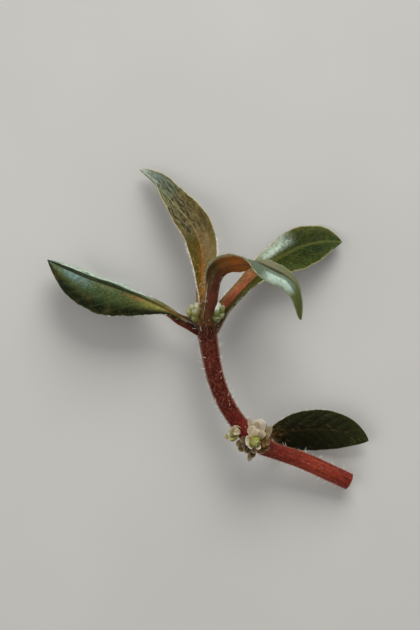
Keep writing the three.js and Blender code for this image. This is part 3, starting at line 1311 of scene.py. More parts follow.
    def margin_hairs(self, random: np.random.Generator, low: float) -> HairRoots:
        """Roots of the fringe of short hairs along both margins.

        Args:
            random: The source of the scatter.
            low: Where along the leaf they start.

        Returns:
            The roots, leaning outwards and forwards.
        """
        count, high = self.fringe
        along = random.uniform(low, high, count)
        side = random.choice([-self.margin_hairs_at, self.margin_hairs_at], count)
        shape = self.shape(along, side, np.zeros(count))
        lean = shape["outward"] + 0.7 * shape["forward"] + 0.25 * random.normal(size=(count, 3))
        return HairRoots(shape["points"], unit(lean), shape["forward"])

    def face_hairs(self, random: np.random.Generator, count: int, low: float, high: float,
                   below: float = 0.0) -> HairRoots:
        """Roots of hairs on a face, thicker towards the leaf's base.

        Args:
            random: The source of the scatter.
            count: How many hairs.
            low: Where along the leaf they start.
            high: Where they end.
            below: 0 for the upper face and 1 for the lower.

        Returns:
            The roots, leaning forwards.
        """
        along = low + (high - low) * random.uniform(0, 1, count) ** 1.6
        side = random.uniform(-self.face_hairs_to, self.face_hairs_to, count)
        shape = self.shape(along, side, np.full(count, below))
        lean = shape["normal"] + 0.9 * shape["forward"] + 0.45 * random.normal(size=(count, 3))
        return HairRoots(shape["points"], unit(lean), shape["forward"])


@dataclass(frozen=True)
class Hairs:
    """Tapering hairs, each a narrow closed skin that bends as the square of its share of length.

    Their lengths, the radius of the foot and how deep it is sunk are in millimetres. curve is how far the
    tip bends aside, as a share of the length. taper is the share of the radius that the tip loses, and stray
    how far the bends scatter.
    """

    shortest: float
    longest: float
    radius: float
    curve: float = 0.35
    sunk: float = 0.05
    taper: float = 0.8
    stray: float = 0.6

    RINGS = 4
    SIDES = 4

    def skin(self, roots: HairRoots, random: np.random.Generator) -> Skin:
        """Grows hairs.

        Args:
            roots: Where they grow.
            random: The source of their lengths and bends.

        Returns:
            The hairs as one set of skins.
        """
        count = len(roots.feet)
        length = random.uniform(self.shortest, self.longest, count)[:, None, None]
        share = np.linspace(0, 1, self.RINGS)[None, :, None]
        bend = unit(roots.bend + self.stray * random.normal(size=(count, 3)))[:, None]
        middle = (roots.feet[:, None] - self.sunk * roots.lean[:, None]
                  + length * share * roots.lean[:, None] + length * self.curve * share**2 * bend)
        helper = np.where(np.abs(roots.lean[:, 2:]) > 0.9, [1.0, 0.0, 0.0], [0.0, 0.0, 1.0])
        one = unit(np.cross(roots.lean, helper))[:, None, None]
        two = np.cross(one, roots.lean[:, None, None])
        turn = (math.tau * np.arange(self.SIDES) / self.SIDES)[None, None, :, None]
        radius = self.radius * (1 - self.taper * share**1.5)[..., None]
        rings = middle[:, :, None] + radius * (np.cos(turn) * one + np.sin(turn) * two)
        values = np.broadcast_to(share, (count, self.RINGS, self.SIDES))
        return Skin(rings, middle[:, 0], middle[:, -1], {"along": values})


@dataclass
class Stem:
    """The stem: a ribbed round skin along its axis, with furrows at its nodes and a flat cut at its end.

    Each row of the axis is a place and the radius there. nodes are shares of the length. cut_dish is how far
    the cut's middle is sunk, and down the depth of the down, in millimetres. node_reach is the share of the
    length over which a node shows. cut_middle, the sway, the furrows and the rings are shares of the radius.
    """

    finish: StemFinish
    axis: tuple[tuple[float, ...], ...]
    nodes: tuple[float, ...]
    cut_dish: float = 0.12
    cut_middle: float = 0.08
    down: float = 0.06
    node_reach: float = 0.035
    sway: float = 0.012
    node_furrows: float = 0.045
    node_rings: float = 0.02
    path: Path = field(init=False)

    # Each set of ribs has a height as a share of the radius, a number, a drift along the stem and a start.
    RIBS = ((0.022, 7, 5, 0.0), (0.012, 13, -9, 1.3))
    ROWS = 520
    SIDES = 84
    CUT_ROWS = 8

    def __post_init__(self) -> None:
        """Lays the axis."""
        self.path = Path(self.axis)

    def shape(self, along: Array, turn: Array) -> tuple[Array, Array, Array]:
        """Points of the stem's side.

        The radius gains the depth of the down. It swells and sinks by shallow ribs that drift around the
        stem, by a sway from side to side, and by furrows and rings that only show at the nodes.

        Args:
            along: Share of the length, from the upper end to the cut.
            turn: Share of a turn around the axis.

        Returns:
            The points, their outward directions and the directions along the stem.
        """
        forward = self.path.forward(along)
        one = unit(np.cross(forward, [0.0, 0.0, 1.0]))
        two = np.cross(one, forward)
        angle = math.tau * turn
        outward = np.cos(angle)[..., None] * one + np.sin(angle)[..., None] * two
        near = sum(bell(along - node, self.node_reach) for node in self.nodes)
        ribs = sum(high * np.cos(count * angle + drift * along + start)
                   for high, count, drift, start in self.RIBS)
        sway = self.sway * np.sin(43 * along) * np.cos(angle + 1)
        furrows = self.node_furrows * np.cos(11 * angle + 2 * np.sin(60 * along))
        furrows = near * (furrows + self.node_rings * np.sin(190 * along))
        radius = (self.path.at(along, 3, 1)[..., 0] + self.down) * (1 + ribs + sway + furrows)
        return self.path.at(along) + radius[..., None] * outward, outward, forward

    def skin(self) -> Skin:
        """The stem's closed skin, with the cut as rings that close in on the axis.

        Returns:
            The skin.
        """
        along, turn = np.broadcast_arrays(np.linspace(0, 1, self.ROWS)[:, None],
                                          (np.arange(self.SIDES) / self.SIDES)[None])
        side, _, forward = self.shape(along, turn)
        centre = self.path.at(np.array([1.0]))
        inward = np.linspace(1, self.cut_middle, self.CUT_ROWS)[:, None, None]
        cut = centre + (side[-1:] - centre) * inward - self.cut_dish * (1 - inward**2) * forward[-1:]
        on_side, on_cut = np.ones(along.shape), np.ones((self.CUT_ROWS, self.SIDES))
        run = np.concatenate([along, on_cut])
        values = {
            "along": run,
            "run": run * self.path.length,
            "turn": np.concatenate([turn, turn[-1:] * on_cut]),
            "radial": np.concatenate([on_side, inward[:, :, 0] * on_cut]),
            "cut": np.concatenate([0 * on_side, on_cut]),
        }
        start, end = self.path.at(np.array([0.0])), centre - self.cut_dish * forward[-1:, 0]
        return Skin(np.concatenate([side, cut])[None], start, end,
                    {key: value[None] for key, value in values.items()})

    def hair_roots(self, random: np.random.Generator, count: int, lie: float, rows: float) -> HairRoots:
        """Roots of the stem's hairs, thicker at the nodes and leaning towards the growing end.

        Args:
            random: The source of the scatter.
            count: How many hairs.
            lie: How strongly they lean along the stem, against 1 outwards.
            rows: The share of the hairs that stand in two rows, one down each side of the stem.

        Returns:
            The roots.
        """
        spread = 0.05 + 0.92 * random.uniform(0, 1, count) ** 2
        node = random.choice(self.nodes, count)
        close = np.clip(node + self.node_reach * random.normal(size=count), 0.04, 0.98)
        along = np.where(random.uniform(size=count) < 0.1, close, spread)
        in_row = random.choice([0.0, 0.5], count) + 0.045 * random.normal(size=count)
        turn = np.where(random.uniform(size=count) < rows, in_row, random.uniform(0, 1, count))
        points, outward, forward = self.shape(along, turn)
        lean = outward - lie * forward + 0.35 * random.normal(size=(count, 3))
        return HairRoots(points, unit(lean), -forward)

    def build(self, effects: Effects) -> bpy.types.Object:
        """Makes the stem in place of its CAD node."""
        material = self.finish.material("stem", effects)
        return make_piece("stem_skin", [self.skin()], material, ("stem",))


@dataclass(frozen=True)
class Scale:
    """A papery scale: its base and tip, the way its inner face looks, its width, and how it cups and bows.

    deep, green and accent are shares of those tints. swell and close are the powers by which the width grows
    from the base and shrinks to the tip. uneven is how far its edge wavers, and the other depths are in
    millimetres.
    """

    base: Place
    tip: Place
    face: Place
    width: float
    deep: float = 0.0
    green: float = 0.0
    cup: float = 0.35
    bow: float = 0.18
    swell: float = 0.6
    close: float = 0.45
    accent: float = 0.0
    thick: float = 0.07
    base_half: float = 0.12
    uneven: float = 0.04
    ribs: float = 0.014
    crumple: float = 0.05

    ROWS = 26
    ACROSS = 15

    def skin(self) -> Skin:
        """Makes the scale as a thin closed skin.

        Its midline bows from base to tip as 4 u (1 - u), its width is a power of u times a power of 1 - u
        with a finely uneven edge, and its sides rise as the square of their share of the width.

        Returns:
            The skin.
        """
        base, tip, face = (np.array(value) for value in (self.base, self.tip, self.face))
        length = float(np.linalg.norm(tip - base))
        forward = (tip - base) / length
        up = unit(face - (face @ forward) * forward)
        sideways = np.cross(up, forward)
        steps = np.linspace(0, 1, self.ROWS)
        along = (0.99 * steps * (1.4 - 0.4 * steps))[:, None]
        side, below = both_faces(self.ACROSS)
        outline = HalfBlade(0.5 * self.width, self.swell, self.close, 0)
        uneven = np.sin(23 * along + 9 * self.width) + 0.7 * np.sin(41 * along + 31 * self.width)
        wide = outline.width(along) + self.base_half * (1 - along) ** 3
        wide = wide * (1 + self.uneven * uneven * side)
        rise = self.cup * wide * side**2 - self.bow * length * 4 * along * (1 - along)
        ribs = self.ribs * np.cos(7 * np.pi * side) * np.sin(np.pi * along)
        crumple = self.crumple * smooth_noise(3.1 * along + 7 * self.width, 1.9 * side + 5 * self.cup, 3)
        thick = self.thick * np.sqrt(np.clip(1 - side**8, 0.05, 1)) * np.sqrt(1 - along**8)
        height = rise + ribs + crumple - below * thick
        points = (base + length * along[..., None] * forward + (wide * side)[..., None] * sideways
                  + height[..., None] * up)
        nerve = (1 - along) * (bell(side, 0.13) + 0.6 * bell(np.abs(side) - 0.5, 0.08))
        values = {"along": along, "nerve": nerve, "deep": self.deep, "green": self.green,
                  "accent": self.accent}
        return Skin(points[None], points[:1].mean(1), points[-1:].mean(1),
                    {key: np.broadcast_to(value, wide.shape)[None] for key, value in values.items()})


@dataclass(frozen=True)
class Bud:
    """Scales that close around an axis, each bowed outwards, with their tips together.

    radius is the bud's, in millimetres. turn is the share of a turn that the first scale stands at. foot,
    width, bow and spread are how far out the scales stand, how wide they are, how far they bow and how far
    their tips cross, all against the radius. shorter is what every second scale loses of its length. aside
    is a way that no bud's axis lies in.
    """

    base: Place
    tip: Place
    radius: float
    count: int = 5
    deep: float = 0.0
    green: float = 0.0
    turn: float = 0.0
    accent: float = 0.0
    foot: float = 0.3
    width: float = 2.1
    bow: float = 0.72
    spread: float = 0.12
    shorter: float = 0.08
    aside: Place = (0.31, 0.82, 0.13)

    def scales(self) -> list[Scale]:
        """The bud's scales, every second one a little shorter.

        Returns:
            The scales.
        """
        start, end = np.array(self.base), np.array(self.tip)
        length = float(np.linalg.norm(end - start))
        forward = (end - start) / length
        one = unit(np.cross(forward, self.aside))
        two = np.cross(forward, one)
        made = []
        for number in range(self.count):
            angle = math.tau * (number / self.count + self.turn)
            away = math.cos(angle) * one + math.sin(angle) * two
            base = start + self.foot * self.radius * away
            top = end - self.shorter * (number % 2) * (end - start) - self.spread * self.radius * away
            made.append(Scale(tuple(base), tuple(top), tuple(-away), self.width * self.radius, self.deep,
                              self.green, cup=0.6, bow=self.bow * self.radius / length, swell=0.6,
                              close=0.6, accent=self.accent))
        return made


@dataclass
class Head:
    """A head of papery scales in place of a CAD node."""

    name: str
    slot: str
    buds: tuple[Bud, ...]
    scales: tuple[Scale, ...] = ()

    def every_scale(self) -> list[Scale]:
        """The head's own scales and those of its buds."""
        return [*self.scales, *(scale for bud in self.buds for scale in bud.scales())]

    def build(self, material: Material) -> bpy.types.Object:
        """Makes the head's scales as one piece."""
        skins = [scale.skin() for scale in self.every_scale()]
        return make_piece(f"{self.name}_scales", skins, material, (self.name,))

    def hair_roots(self, random: np.random.Generator, count: int) -> HairRoots:
        """Roots of hairs on the outer faces of the scales, leaning towards their tips.

        Args:
            random: The source of the scatter.
            count: How many hairs on each scale.

        Returns:
            The roots.
        """
        feet, lean, bend = [], [], []
        for scale in self.every_scale():
            points = scale.skin().rings[0]
            row = random.integers(len(points) // 5, len(points) - 1, count)
            column = random.integers(points.shape[1] // 2 + 2, points.shape[1] - 2, count)
            forward = unit(np.array(scale.tip) - np.array(scale.base))
            away = -unit(np.array(scale.face)) + 0.5 * forward + 0.4 * random.normal(size=(count, 3))
            feet.append(points[row, column])
            lean.append(unit(away))
            bend.append(np.broadcast_to(forward, (count, 3)))
        return HairRoots(np.concatenate(feet), np.concatenate(lean), np.concatenate(bend))


def new_head(name: str, slot: str, buds: tuple[tuple, ...], scales: tuple[tuple, ...] = ()) -> Head:
    """Makes a head from tables whose rows hold the fields of its buds and of its own scales."""
    return Head(name, slot, tuple(Bud(*row) for row in buds), tuple(Scale(*row) for row in scales))


class Node(Enum):
    """The stem's two nodes, by their shares of the stem's length from its upper end."""

    UPPER = 0.07
    LOWER = 0.61


# Each row of the stem's axis is a place and the radius there, in millimetres from the upper node.
STEM_AXIS = (
    (0.1, 2.4, 0.0, 0.6), (0.1, 1.7, 0.0, 1.15), (0.1, 0.3, 0.0, 1.6), (0.2, -1.2, 0.0, 1.6),
    (0.4, -2.7, 0.0, 1.38), (0.7, -4.5, 0.0, 1.3), (1.3, -7.8, -0.1, 1.25), (2.2, -10.8, -0.2, 1.22),
    (3.5, -13.5, -0.3, 1.2), (5.1, -15.8, -0.4, 1.2), (6.8, -17.7, -0.5, 1.45), (8.5, -19.1, -0.9, 1.3),
    (10.9, -20.2, -1.5, 1.12), (14.2, -21.3, -2.4, 1.2), (18.0, -23.0, -3.4, 1.22),
    (21.8, -24.8, -4.47, 1.2),
)

STEM_FINISH = StemFinish(
    skin=((0.0, 86, 74, 26), (0.07, 66, 54, 15), (0.1, 46, 28, 6), (0.13, 52, 16, 6), (0.18, 72, 23, 9),
          (0.4, 72, 20, 9), (0.5, 92, 18, 13), (0.58, 116, 20, 17), (0.63, 92, 34, 24), (0.7, 112, 36, 26),
          (0.85, 140, 54, 36), (1.0, 120, 40, 30)),
    cut=((0.0, 212, 204, 168), (0.62, 212, 204, 168), (0.78, 170, 160, 104), (1.0, 46, 10, 6)),
    streak=Tint((132, 74, 56), 0.5), dark=Tint((46, 10, 6), 0.5), bloom=Tint((140, 76, 64), 0.34),
    down=Tint((206, 150, 124), 0.5), roughness=0.5,
)
# Upright leaf: the grey-green towards the tips of both halves is partly painted sheen, and the dark seam
# tint is painted shade in the creases and the seams between the cells.
YOUNG = BladeFinish(
    left=((0.0, 90, 70, 36), (0.12, 136, 94, 36), (0.25, 98, 78, 18), (0.42, 80, 68, 20),
          (0.55, 118, 106, 68), (0.72, 124, 122, 88), (0.8, 114, 122, 94), (0.88, 132, 144, 134),
          (1.0, 158, 170, 158)),
    right=((0.0, 90, 70, 36), (0.12, 128, 98, 48), (0.28, 122, 98, 54), (0.42, 120, 101, 65),
           (0.55, 108, 94, 58), (0.7, 106, 100, 68), (0.8, 98, 108, 88), (0.88, 96, 110, 102),
           (1.0, 146, 158, 144)),
    under=((0.0, 92, 70, 38), (0.15, 136, 108, 62), (0.5, 112, 84, 44), (1.0, 100, 90, 56)),
    rib=((0.0, 100, 74, 38), (0.15, 156, 104, 50), (0.35, 150, 108, 60), (0.6, 134, 118, 78),
         (1.0, 116, 124, 100)),
    rib_share=0.6, under_rib=Tint((128, 98, 58), 0.6), left_edge=Edge((78, 74, 34), 0.3),
    right_edge=Edge((98, 96, 60), 0.4, 0.55, 0.92), vein=Tint((134, 118, 78), 0.25),
    margin=Tint((190, 180, 142), 0.85), seam=Tint((26, 20, 4), 1.0), patch=Tint((78, 78, 44), 0.3),
    speck=Tint((150, 154, 130), 0.14), roughness=0.45,
    areas=(
        Area((104, 100, 76), 0.5, (0.6, 0.12), (0.25, 0.5)),
        Area((104, 108, 52), 0.6, (0.3, 0.08), (-0.5, 0.4), 0.5),
        Area((146, 88, 28), 0.75, (0.26, 0.2), (0.12, 0.4)),
        Area((92, 74, 22), 0.75, (0.58, 0.22), (-0.9, 0.4), 0.0, 0.55),
    ),
)
# Arching leaf: the first, dark area is painted shade in the crease along the midrib, and the pale turquoise
# second area is a painted sheen on the right half.
ARCHING = BladeFinish(
    left=((0.0, 88, 66, 34), (0.4, 92, 92, 58), (0.6, 110, 110, 82), (0.72, 104, 108, 76),
          (0.82, 88, 96, 52), (1.0, 98, 114, 64)),
    right=((0.0, 88, 66, 34), (0.45, 88, 98, 76), (0.58, 90, 105, 88), (0.68, 98, 116, 98),
           (0.78, 100, 118, 100), (0.85, 76, 82, 38), (1.0, 74, 82, 28)),
    under=((0.0, 58, 56, 24), (0.05, 70, 46, 28), (0.1, 80, 48, 30), (0.22, 94, 54, 22),
           (0.32, 118, 66, 24), (0.42, 144, 82, 26), (0.6, 106, 66, 28), (1.0, 80, 82, 36)),
    under_right=((0.0, 58, 56, 24), (0.05, 70, 46, 28), (0.12, 78, 42, 28), (0.2, 70, 50, 24),
                 (0.28, 64, 49, 16), (0.34, 118, 72, 26), (0.42, 146, 84, 28), (0.7, 96, 74, 32),
                 (1.0, 80, 82, 36)),
    rib=((0.0, 80, 60, 32), (0.4, 64, 54, 36), (0.75, 54, 48, 32), (1.0, 90, 100, 60)),
    rib_share=0.85, under_rib=Tint((84, 34, 26), 0.5), left_edge=Edge((116, 124, 84), 0.5),
    right_edge=Edge((88, 104, 78), 0.45), vein=Tint((92, 92, 60), 0.25), margin=Tint((144, 150, 118), 0.6),
    seam=Tint((60, 50, 26), 0.1), patch=Tint((104, 58, 26), 0.05), speck=Tint((160, 150, 120), 0.03),
    mottle=0.45, roughness=0.34, coat=0.05,
    areas=(
        Area((46, 40, 22), 0.95, (0.64, 0.17), (-0.06, 0.18), 0.0, 0.25),
        Area((178, 200, 188), 0.9, (0.725, 0.13), (-0.66, 0.32), 0.0, 0.5),
        Area((78, 74, 52), 0.5, (0.68, 0.12), (0.45, 0.14), 0.4),
    ),
)
# Left leaf: the dark left edge is painted shade where the half curls under, the dark inner right half and
# the dark midrib are painted shade in the groove, and the glancing right edge and the first, pale blue-grey
# area are painted sheen. The near-black foot of the stalk is partly its dark red and partly painted shade
# under the buds.
GREEN = BladeFinish(
    left=((0.0, 30, 14, 5), (0.1, 56, 38, 12), (0.2, 106, 102, 44), (0.32, 98, 100, 46), (0.42, 74, 84, 42),
          (0.6, 62, 82, 48), (0.75, 66, 82, 48), (0.88, 74, 88, 50), (1.0, 80, 98, 70)),
    right=((0.0, 40, 20, 10), (0.12, 66, 44, 20), (0.2, 96, 92, 48), (0.32, 104, 104, 60),
           (0.42, 44, 56, 30), (0.6, 22, 32, 12), (1.0, 16, 22, 6)),
    under=((0.0, 50, 20, 14), (0.1, 92, 32, 28), (0.25, 86, 40, 28), (0.5, 72, 60, 34), (1.0, 70, 68, 38)),
    rib=((0.0, 40, 22, 12), (0.18, 86, 66, 30), (0.35, 44, 48, 20), (0.5, 22, 28, 10), (1.0, 16, 20, 6)),
    rib_share=0.9, under_rib=Tint((94, 30, 26), 0.8), left_edge=Edge((14, 19, 1), 1.0, 0.3, 0.8),
    right_edge=Edge((186, 212, 192), 0.95, 0.34, 0.56, 0.28, True), vein=Tint((90, 106, 66), 0.15),
    margin=Tint((104, 116, 72), 0.2), seam=Tint((26, 34, 14), 0.45), patch=Tint((92, 80, 40), 0.25),
    speck=Tint((150, 160, 126), 0.1), roughness=0.5, shine=0.04, coat=0.0,
    areas=(
        Area((114, 144, 142), 0.85, (0.8, 0.16), (0.18, 0.3)),
        Area((102, 106, 72), 0.6, (0.62, 0.14), (0.14, 0.2)),
        Area((166, 112, 66), 0.8, (0.41, 0.14), (0.14, 0.2), 0.6),
        Area((132, 132, 66), 0.7, (0.3, 0.1), (0.3, 0.4)),
    ),
)
# Right leaf: the second, pale blue-grey area near the left margin is a painted reflection.
BANDED = BladeFinish(
    left=((0.0, 84, 62, 30), (0.1, 90, 72, 32), (0.4, 96, 96, 56), (0.5, 74, 80, 34), (0.7, 32, 46, 12),
          (1.0, 38, 52, 14)),
    right=((0.0, 84, 62, 30), (0.1, 70, 56, 26), (0.3, 62, 54, 20), (0.5, 52, 64, 18), (0.8, 27, 45, 9),
           (1.0, 40, 58, 18)),
    under=((0.0, 100, 50, 32), (0.5, 94, 56, 32), (1.0, 84, 68, 34)),
    rib=((0.0, 92, 60, 32), (0.07, 112, 58, 30), (0.16, 134, 62, 40), (0.3, 142, 74, 52),
         (0.42, 112, 78, 42), (0.56, 76, 78, 32), (1.0, 78, 84, 42)),
    rib_share=0.8, under_rib=Tint((118, 48, 34), 0.8), left_edge=Edge((92, 94, 50), 0.4),
    right_edge=Edge((72, 82, 34), 0.4), vein=Tint((72, 80, 34), 0.3), margin=Tint((166, 158, 110), 0.75),
    seam=Tint((26, 30, 8), 0.5), patch=Tint((84, 84, 34), 0.22), speck=Tint((200, 180, 140), 0.16),
    roughness=0.48, shine=0.05, coat=0.0,
    areas=(
        Area((140, 84, 56), 0.95, (0.24, 0.24), (0.45, 0.8), 0.0, 0.6),
        Area((190, 208, 194), 0.95, (0.6, 0.15), (0.75, 0.6), 0.0, 0.3),
    ),
)
# Lower leaf: its near-black blade is partly its own dark olive and partly painted shade.
DARK = BladeFinish(
    left=((0.0, 104, 46, 28), (0.1, 86, 36, 16), (0.17, 30, 24, 7), (0.4, 24, 25, 5), (1.0, 36, 42, 16)),
    right=((0.0, 104, 46, 28), (0.1, 86, 36, 16), (0.17, 30, 24, 7), (0.4, 22, 26, 5), (1.0, 36, 42, 16)),
    under=((0.0, 78, 34, 26), (0.5, 68, 40, 26), (1.0, 64, 46, 28)),
    rib=((0.0, 84, 40, 22), (0.2, 54, 36, 16), (1.0, 56, 56, 26)),
    rib_share=0.6, under_rib=Tint((92, 36, 28), 0.7), left_edge=Edge((44, 46, 16), 0.5),
    right_edge=Edge((22, 24, 8), 0.5), vein=Tint((50, 50, 22), 0.4), margin=Tint((76, 78, 38), 0.6),
    seam=Tint((10, 12, 4), 0.5), patch=Tint((46, 44, 16), 0.35), speck=Tint((110, 108, 70), 0.06),
    roughness=0.5, coat=0.03,
)
STEM_HAIRS = HairFinish(foot=(124, 60, 50), tip=(198, 142, 124), cover=0.55)
LEAF_HAIRS = HairFinish(foot=(190, 172, 132), tip=(255, 253, 240), cover=0.95)
GOLDEN_HAIRS = HairFinish(foot=(110, 70, 36), tip=(150, 126, 64), cover=0.6)
# The deep tint is partly the scales' pinkish brown and partly painted shade, darkest at their bases in the
# gaps between the scales.
TEPAL_FINISH = ScaleFinish(
    pale=((0.0, 186, 160, 108), (0.25, 232, 212, 176), (0.7, 250, 234, 208), (1.0, 246, 236, 214)),
    deep=((0.0, 28, 12, 3), (0.35, 40, 24, 12), (0.65, 58, 40, 26), (0.9, 90, 68, 50), (1.0, 108, 84, 64)),
    green=((0.0, 88, 86, 20), (0.4, 120, 118, 30), (0.8, 144, 142, 56), (1.0, 176, 172, 110)),
    accent=(104, 68, 26), nerve=(150, 124, 84), roughness=0.6,
)
# The near-white tips of the pale tint and the near-white accent of the right cluster's top bud are partly
# painted highlights.
BRACT_FINISH = ScaleFinish(
    pale=((0.0, 84, 86, 22), (0.4, 110, 106, 40), (0.66, 148, 142, 78), (0.82, 210, 204, 166),
          (1.0, 232, 228, 204)),
    deep=((0.0, 84, 74, 18), (0.5, 116, 110, 40), (1.0, 166, 160, 96)),
    green=((0.0, 46, 58, 8), (0.5, 76, 92, 14), (0.85, 104, 120, 34), (1.0, 184, 186, 120)),
    accent=(248, 246, 220), nerve=(82, 88, 34), roughness=0.5,
)

LEAVES = (
    Leaf(
        name="leaf_arching", slot="leaf_young", petiole=0.12, stalk_half=0.66, rib_depth=(1.2, 0.4),
        left=HalfBlade(2.7, 0.75, 0.75, -5), right=HalfBlade(2.75, 0.75, 0.6, -8), finish=ARCHING,
        veins=Veins(count=8, puff=0.05, groove=0.03, cell=(0.7, 0.5), cell_depth=0.02, rib_half=0.22,
                    early_rim=0.35, seed=11),
        ripple=0.08, root=2.4,
        stations=(
            (0.7, 0.3, 0.9, -0.2, 0.1, -1.0, 40, 40), (0.95, 2.7, 1.3, -0.2, 0.1, -1.0, 35, 35),
            (1.2, 4.6, 1.7, -0.25, 0.15, -0.95, 25, 25), (1.6, 6.6, 2.3, -0.45, 0.4, -0.85, 5, 20),
            (2.9, 8.0, 3.4, -0.4, 0.7, -0.7, -8, 12), (5.0, 8.5, 4.7, -0.2, 0.85, -0.6, -6, 5),
            (6.6, 8.6, 5.7, 0.0, 1.0, -0.1, 2, 8), (8.2, 8.2, 6.4, 0.1, 0.85, 0.45, -10, 7),
            (10.2, 7.3, 7.1, 0.2, 0.7, 0.7, -20, -4), (12.2, 6.2, 7.6, 0.4, 0.6, 0.7, -25, -5),
            (13.5, 4.7, 7.8, 0.55, 0.35, 0.75, -32, -5), (14.2, 2.7, 7.7, 0.7, 0.1, 0.7, -35, 0),
            (14.2, -0.3, 7.2, 0.75, 0.0, 0.65, -20, 0),
        ),
    ),
    Leaf(
        name="leaf_upright", slot="leaf_young", petiole=0.1, stalk_half=0.6, rib_depth=(1.1, 0.4),
        left=HalfBlade(2.45, 0.9, 1.2, 8), right=HalfBlade(2.8, 0.78, 0.62, 8), finish=YOUNG,
        veins=Veins(count=9, puff=0.05, groove=0.04, cell=(1.7, 0.42), cell_depth=0.12, cells_start=0.42,
                    cells_full=0.58, cells_end=0.92, cells_right=0.65, wrinkle=1.0, rib_half=0.16,
                    rib_groove=0.06, rim=0.17, seed=21),
        ripple=0.1, fringe=(330, 0.43),
        stations=(
            (-0.3, 0.6, -0.9, 0.1, 0.0, 1.0, 50, 50), (-0.45, 3.9, -1.3, 0.12, 0.0, 0.95, 35, 35),
            (-0.35, 7.2, -1.6, 0.3, 0.05, 0.9, 20, 22), (-0.5, 10.2, -1.8, 0.4, 0.1, 0.9, 5, 20),
            (-1.35, 13.0, -2.0, 0.4, 0.2, 0.85, 0, 20), (-3.1, 15.5, -2.2, 0.4, 0.3, 0.85, 0, 20),
            (-4.3, 16.9, -2.5, 0.4, 0.4, 0.8, 5, 15), (-5.6, 18.4, -2.8, 0.45, 0.45, 0.75, 10, 12),
            (-7.2, 20.7, -3.2, 0.5, 0.5, 0.7, 10, 8), (-9.9, 22.5, -3.8, 0.5, 0.5, 0.7, 5, 5),
        ),
    ),
    Leaf(
        name="leaf_left", slot="leaf_green", petiole=0.14, stalk_half=0.7, rib_depth=(1.5, 0.45),
        left=HalfBlade(4.9, 1.3, 1.0, -18), right=HalfBlade(4.6, 1.3, 1.0, -6), finish=GREEN,
        veins=Veins(count=9, puff=0.025, groove=0.02, cell=(0.7, 0.45), cell_depth=0.03, cells_start=0.15,
                    cells_full=0.35, rib_half=0.34, rib_groove=0.2, seed=31),
        ripple=0.12, root=2.2,
        stations=(
            (-0.8, -1.2, 0.1, -0.3, 0.8, 0.5, 40, 40), (-2.2, -0.5, 0.1, -0.2, 0.8, 0.5, 20, 15),
            (-3.8, 0.2, 0.0, 0.0, 0.8, 0.5, 5, 0), (-5.5, 1.3, -0.2, 0.15, 0.75, 0.6, -10, -15),
            (-8.2, 2.65, -0.5, 0.28, 0.72, 0.63, -20, -25), (-11.2, 3.9, -0.85, 0.28, 0.72, 0.63, -25, -28),
            (-14.5, 5.1, -1.08, 0.28, 0.72, 0.63, -25, -28), (-17.8, 6.2, -1.4, 0.28, 0.72, 0.63, -25, -27),
            (-20.8, 7.45, -1.7, 0.28, 0.72, 0.63, -20, -24), (-23.8, 8.8, -2.2, 0.28, 0.72, 0.63, -15, -18),
        ),
    ),
    Leaf(
        name="leaf_right", slot="leaf_green", petiole=0.06, stalk_half=1.25, rib_depth=(0.92, 0.42),
        left=HalfBlade(3.65, 2.9, 0.9, -8), right=HalfBlade(3.9, 2.6, 1.1, -12), finish=BANDED,
        veins=Veins(count=9, puff=0.07, cell=(0.6, 0.4), cell_depth=0.04, cells_start=0.1, cells_full=0.3,
                    rib_half=0.45, rib_groove=0.1, rim=0.22, seed=41),
        ripple=0.12, root=2.5, fringe=(130, 0.6),
        stations=(
            (1.2, -1.3, -0.3, -0.6, 0.6, 0.6, 20, 0), (2.5, 1.1, -0.8, -0.5, 0.6, 0.7, 25, 0),
            (4.2, 3.1, -1.3, -0.4, 0.6, 0.7, 25, 5), (5.8, 4.8, -1.8, -0.4, 0.6, 0.7, 25, 5),
            (7.4, 6.4, -2.2, -0.35, 0.6, 0.7, 25, 5), (9.4, 8.0, -2.7, -0.3, 0.65, 0.7, 20, 5),
            (12.0, 9.6, -3.05, -0.2, 0.65, 0.72, 12, 0), (14.8, 10.9, -3.45, -0.1, 0.65, 0.74, 8, -3),
            (17.8, 11.6, -3.87, 0.0, 0.65, 0.75, 5, -5), (20.8, 11.5, -4.3, 0.1, 0.65, 0.75, 5, -5),
        ),
    ),
    Leaf(
        name="leaf_lower", slot="leaf_dark", petiole=0.04, stalk_half=0.6, rib_depth=(1.1, 0.4),
        left=HalfBlade(3.1, 0.8, 0.8, -8), right=HalfBlade(4.1, 0.7, 0.9, -8), finish=DARK,
        veins=Veins(count=8, puff=0.1, cell=(0.6, 0.4), cell_depth=0.05, cells_start=0.1, cells_full=0.3,
                    seed=51),
        ripple=0.1, root=1.0,
        stations=(
            (8.2, -18.4, -0.9, -0.3, -0.1, 0.95, 20, 0), (10.0, -17.8, -1.5, -0.2, -0.2, 0.95, 15, -10),
            (12.4, -17.2, -2.15, -0.15, -0.25, 0.95, 8, -20),
            (15.1, -16.9, -2.58, -0.15, -0.25, 0.95, 5, -20), (18.1, -16.9, -2.9, -0.1, -0.2, 0.95, 5, -18),
            (21.4, -17.4, -3.4, 0.0, -0.1, 0.95, 5, -15), (24.8, -18.6, -3.9, 0.1, 0.0, 0.95, 5, -10),
        ),
    ),
)

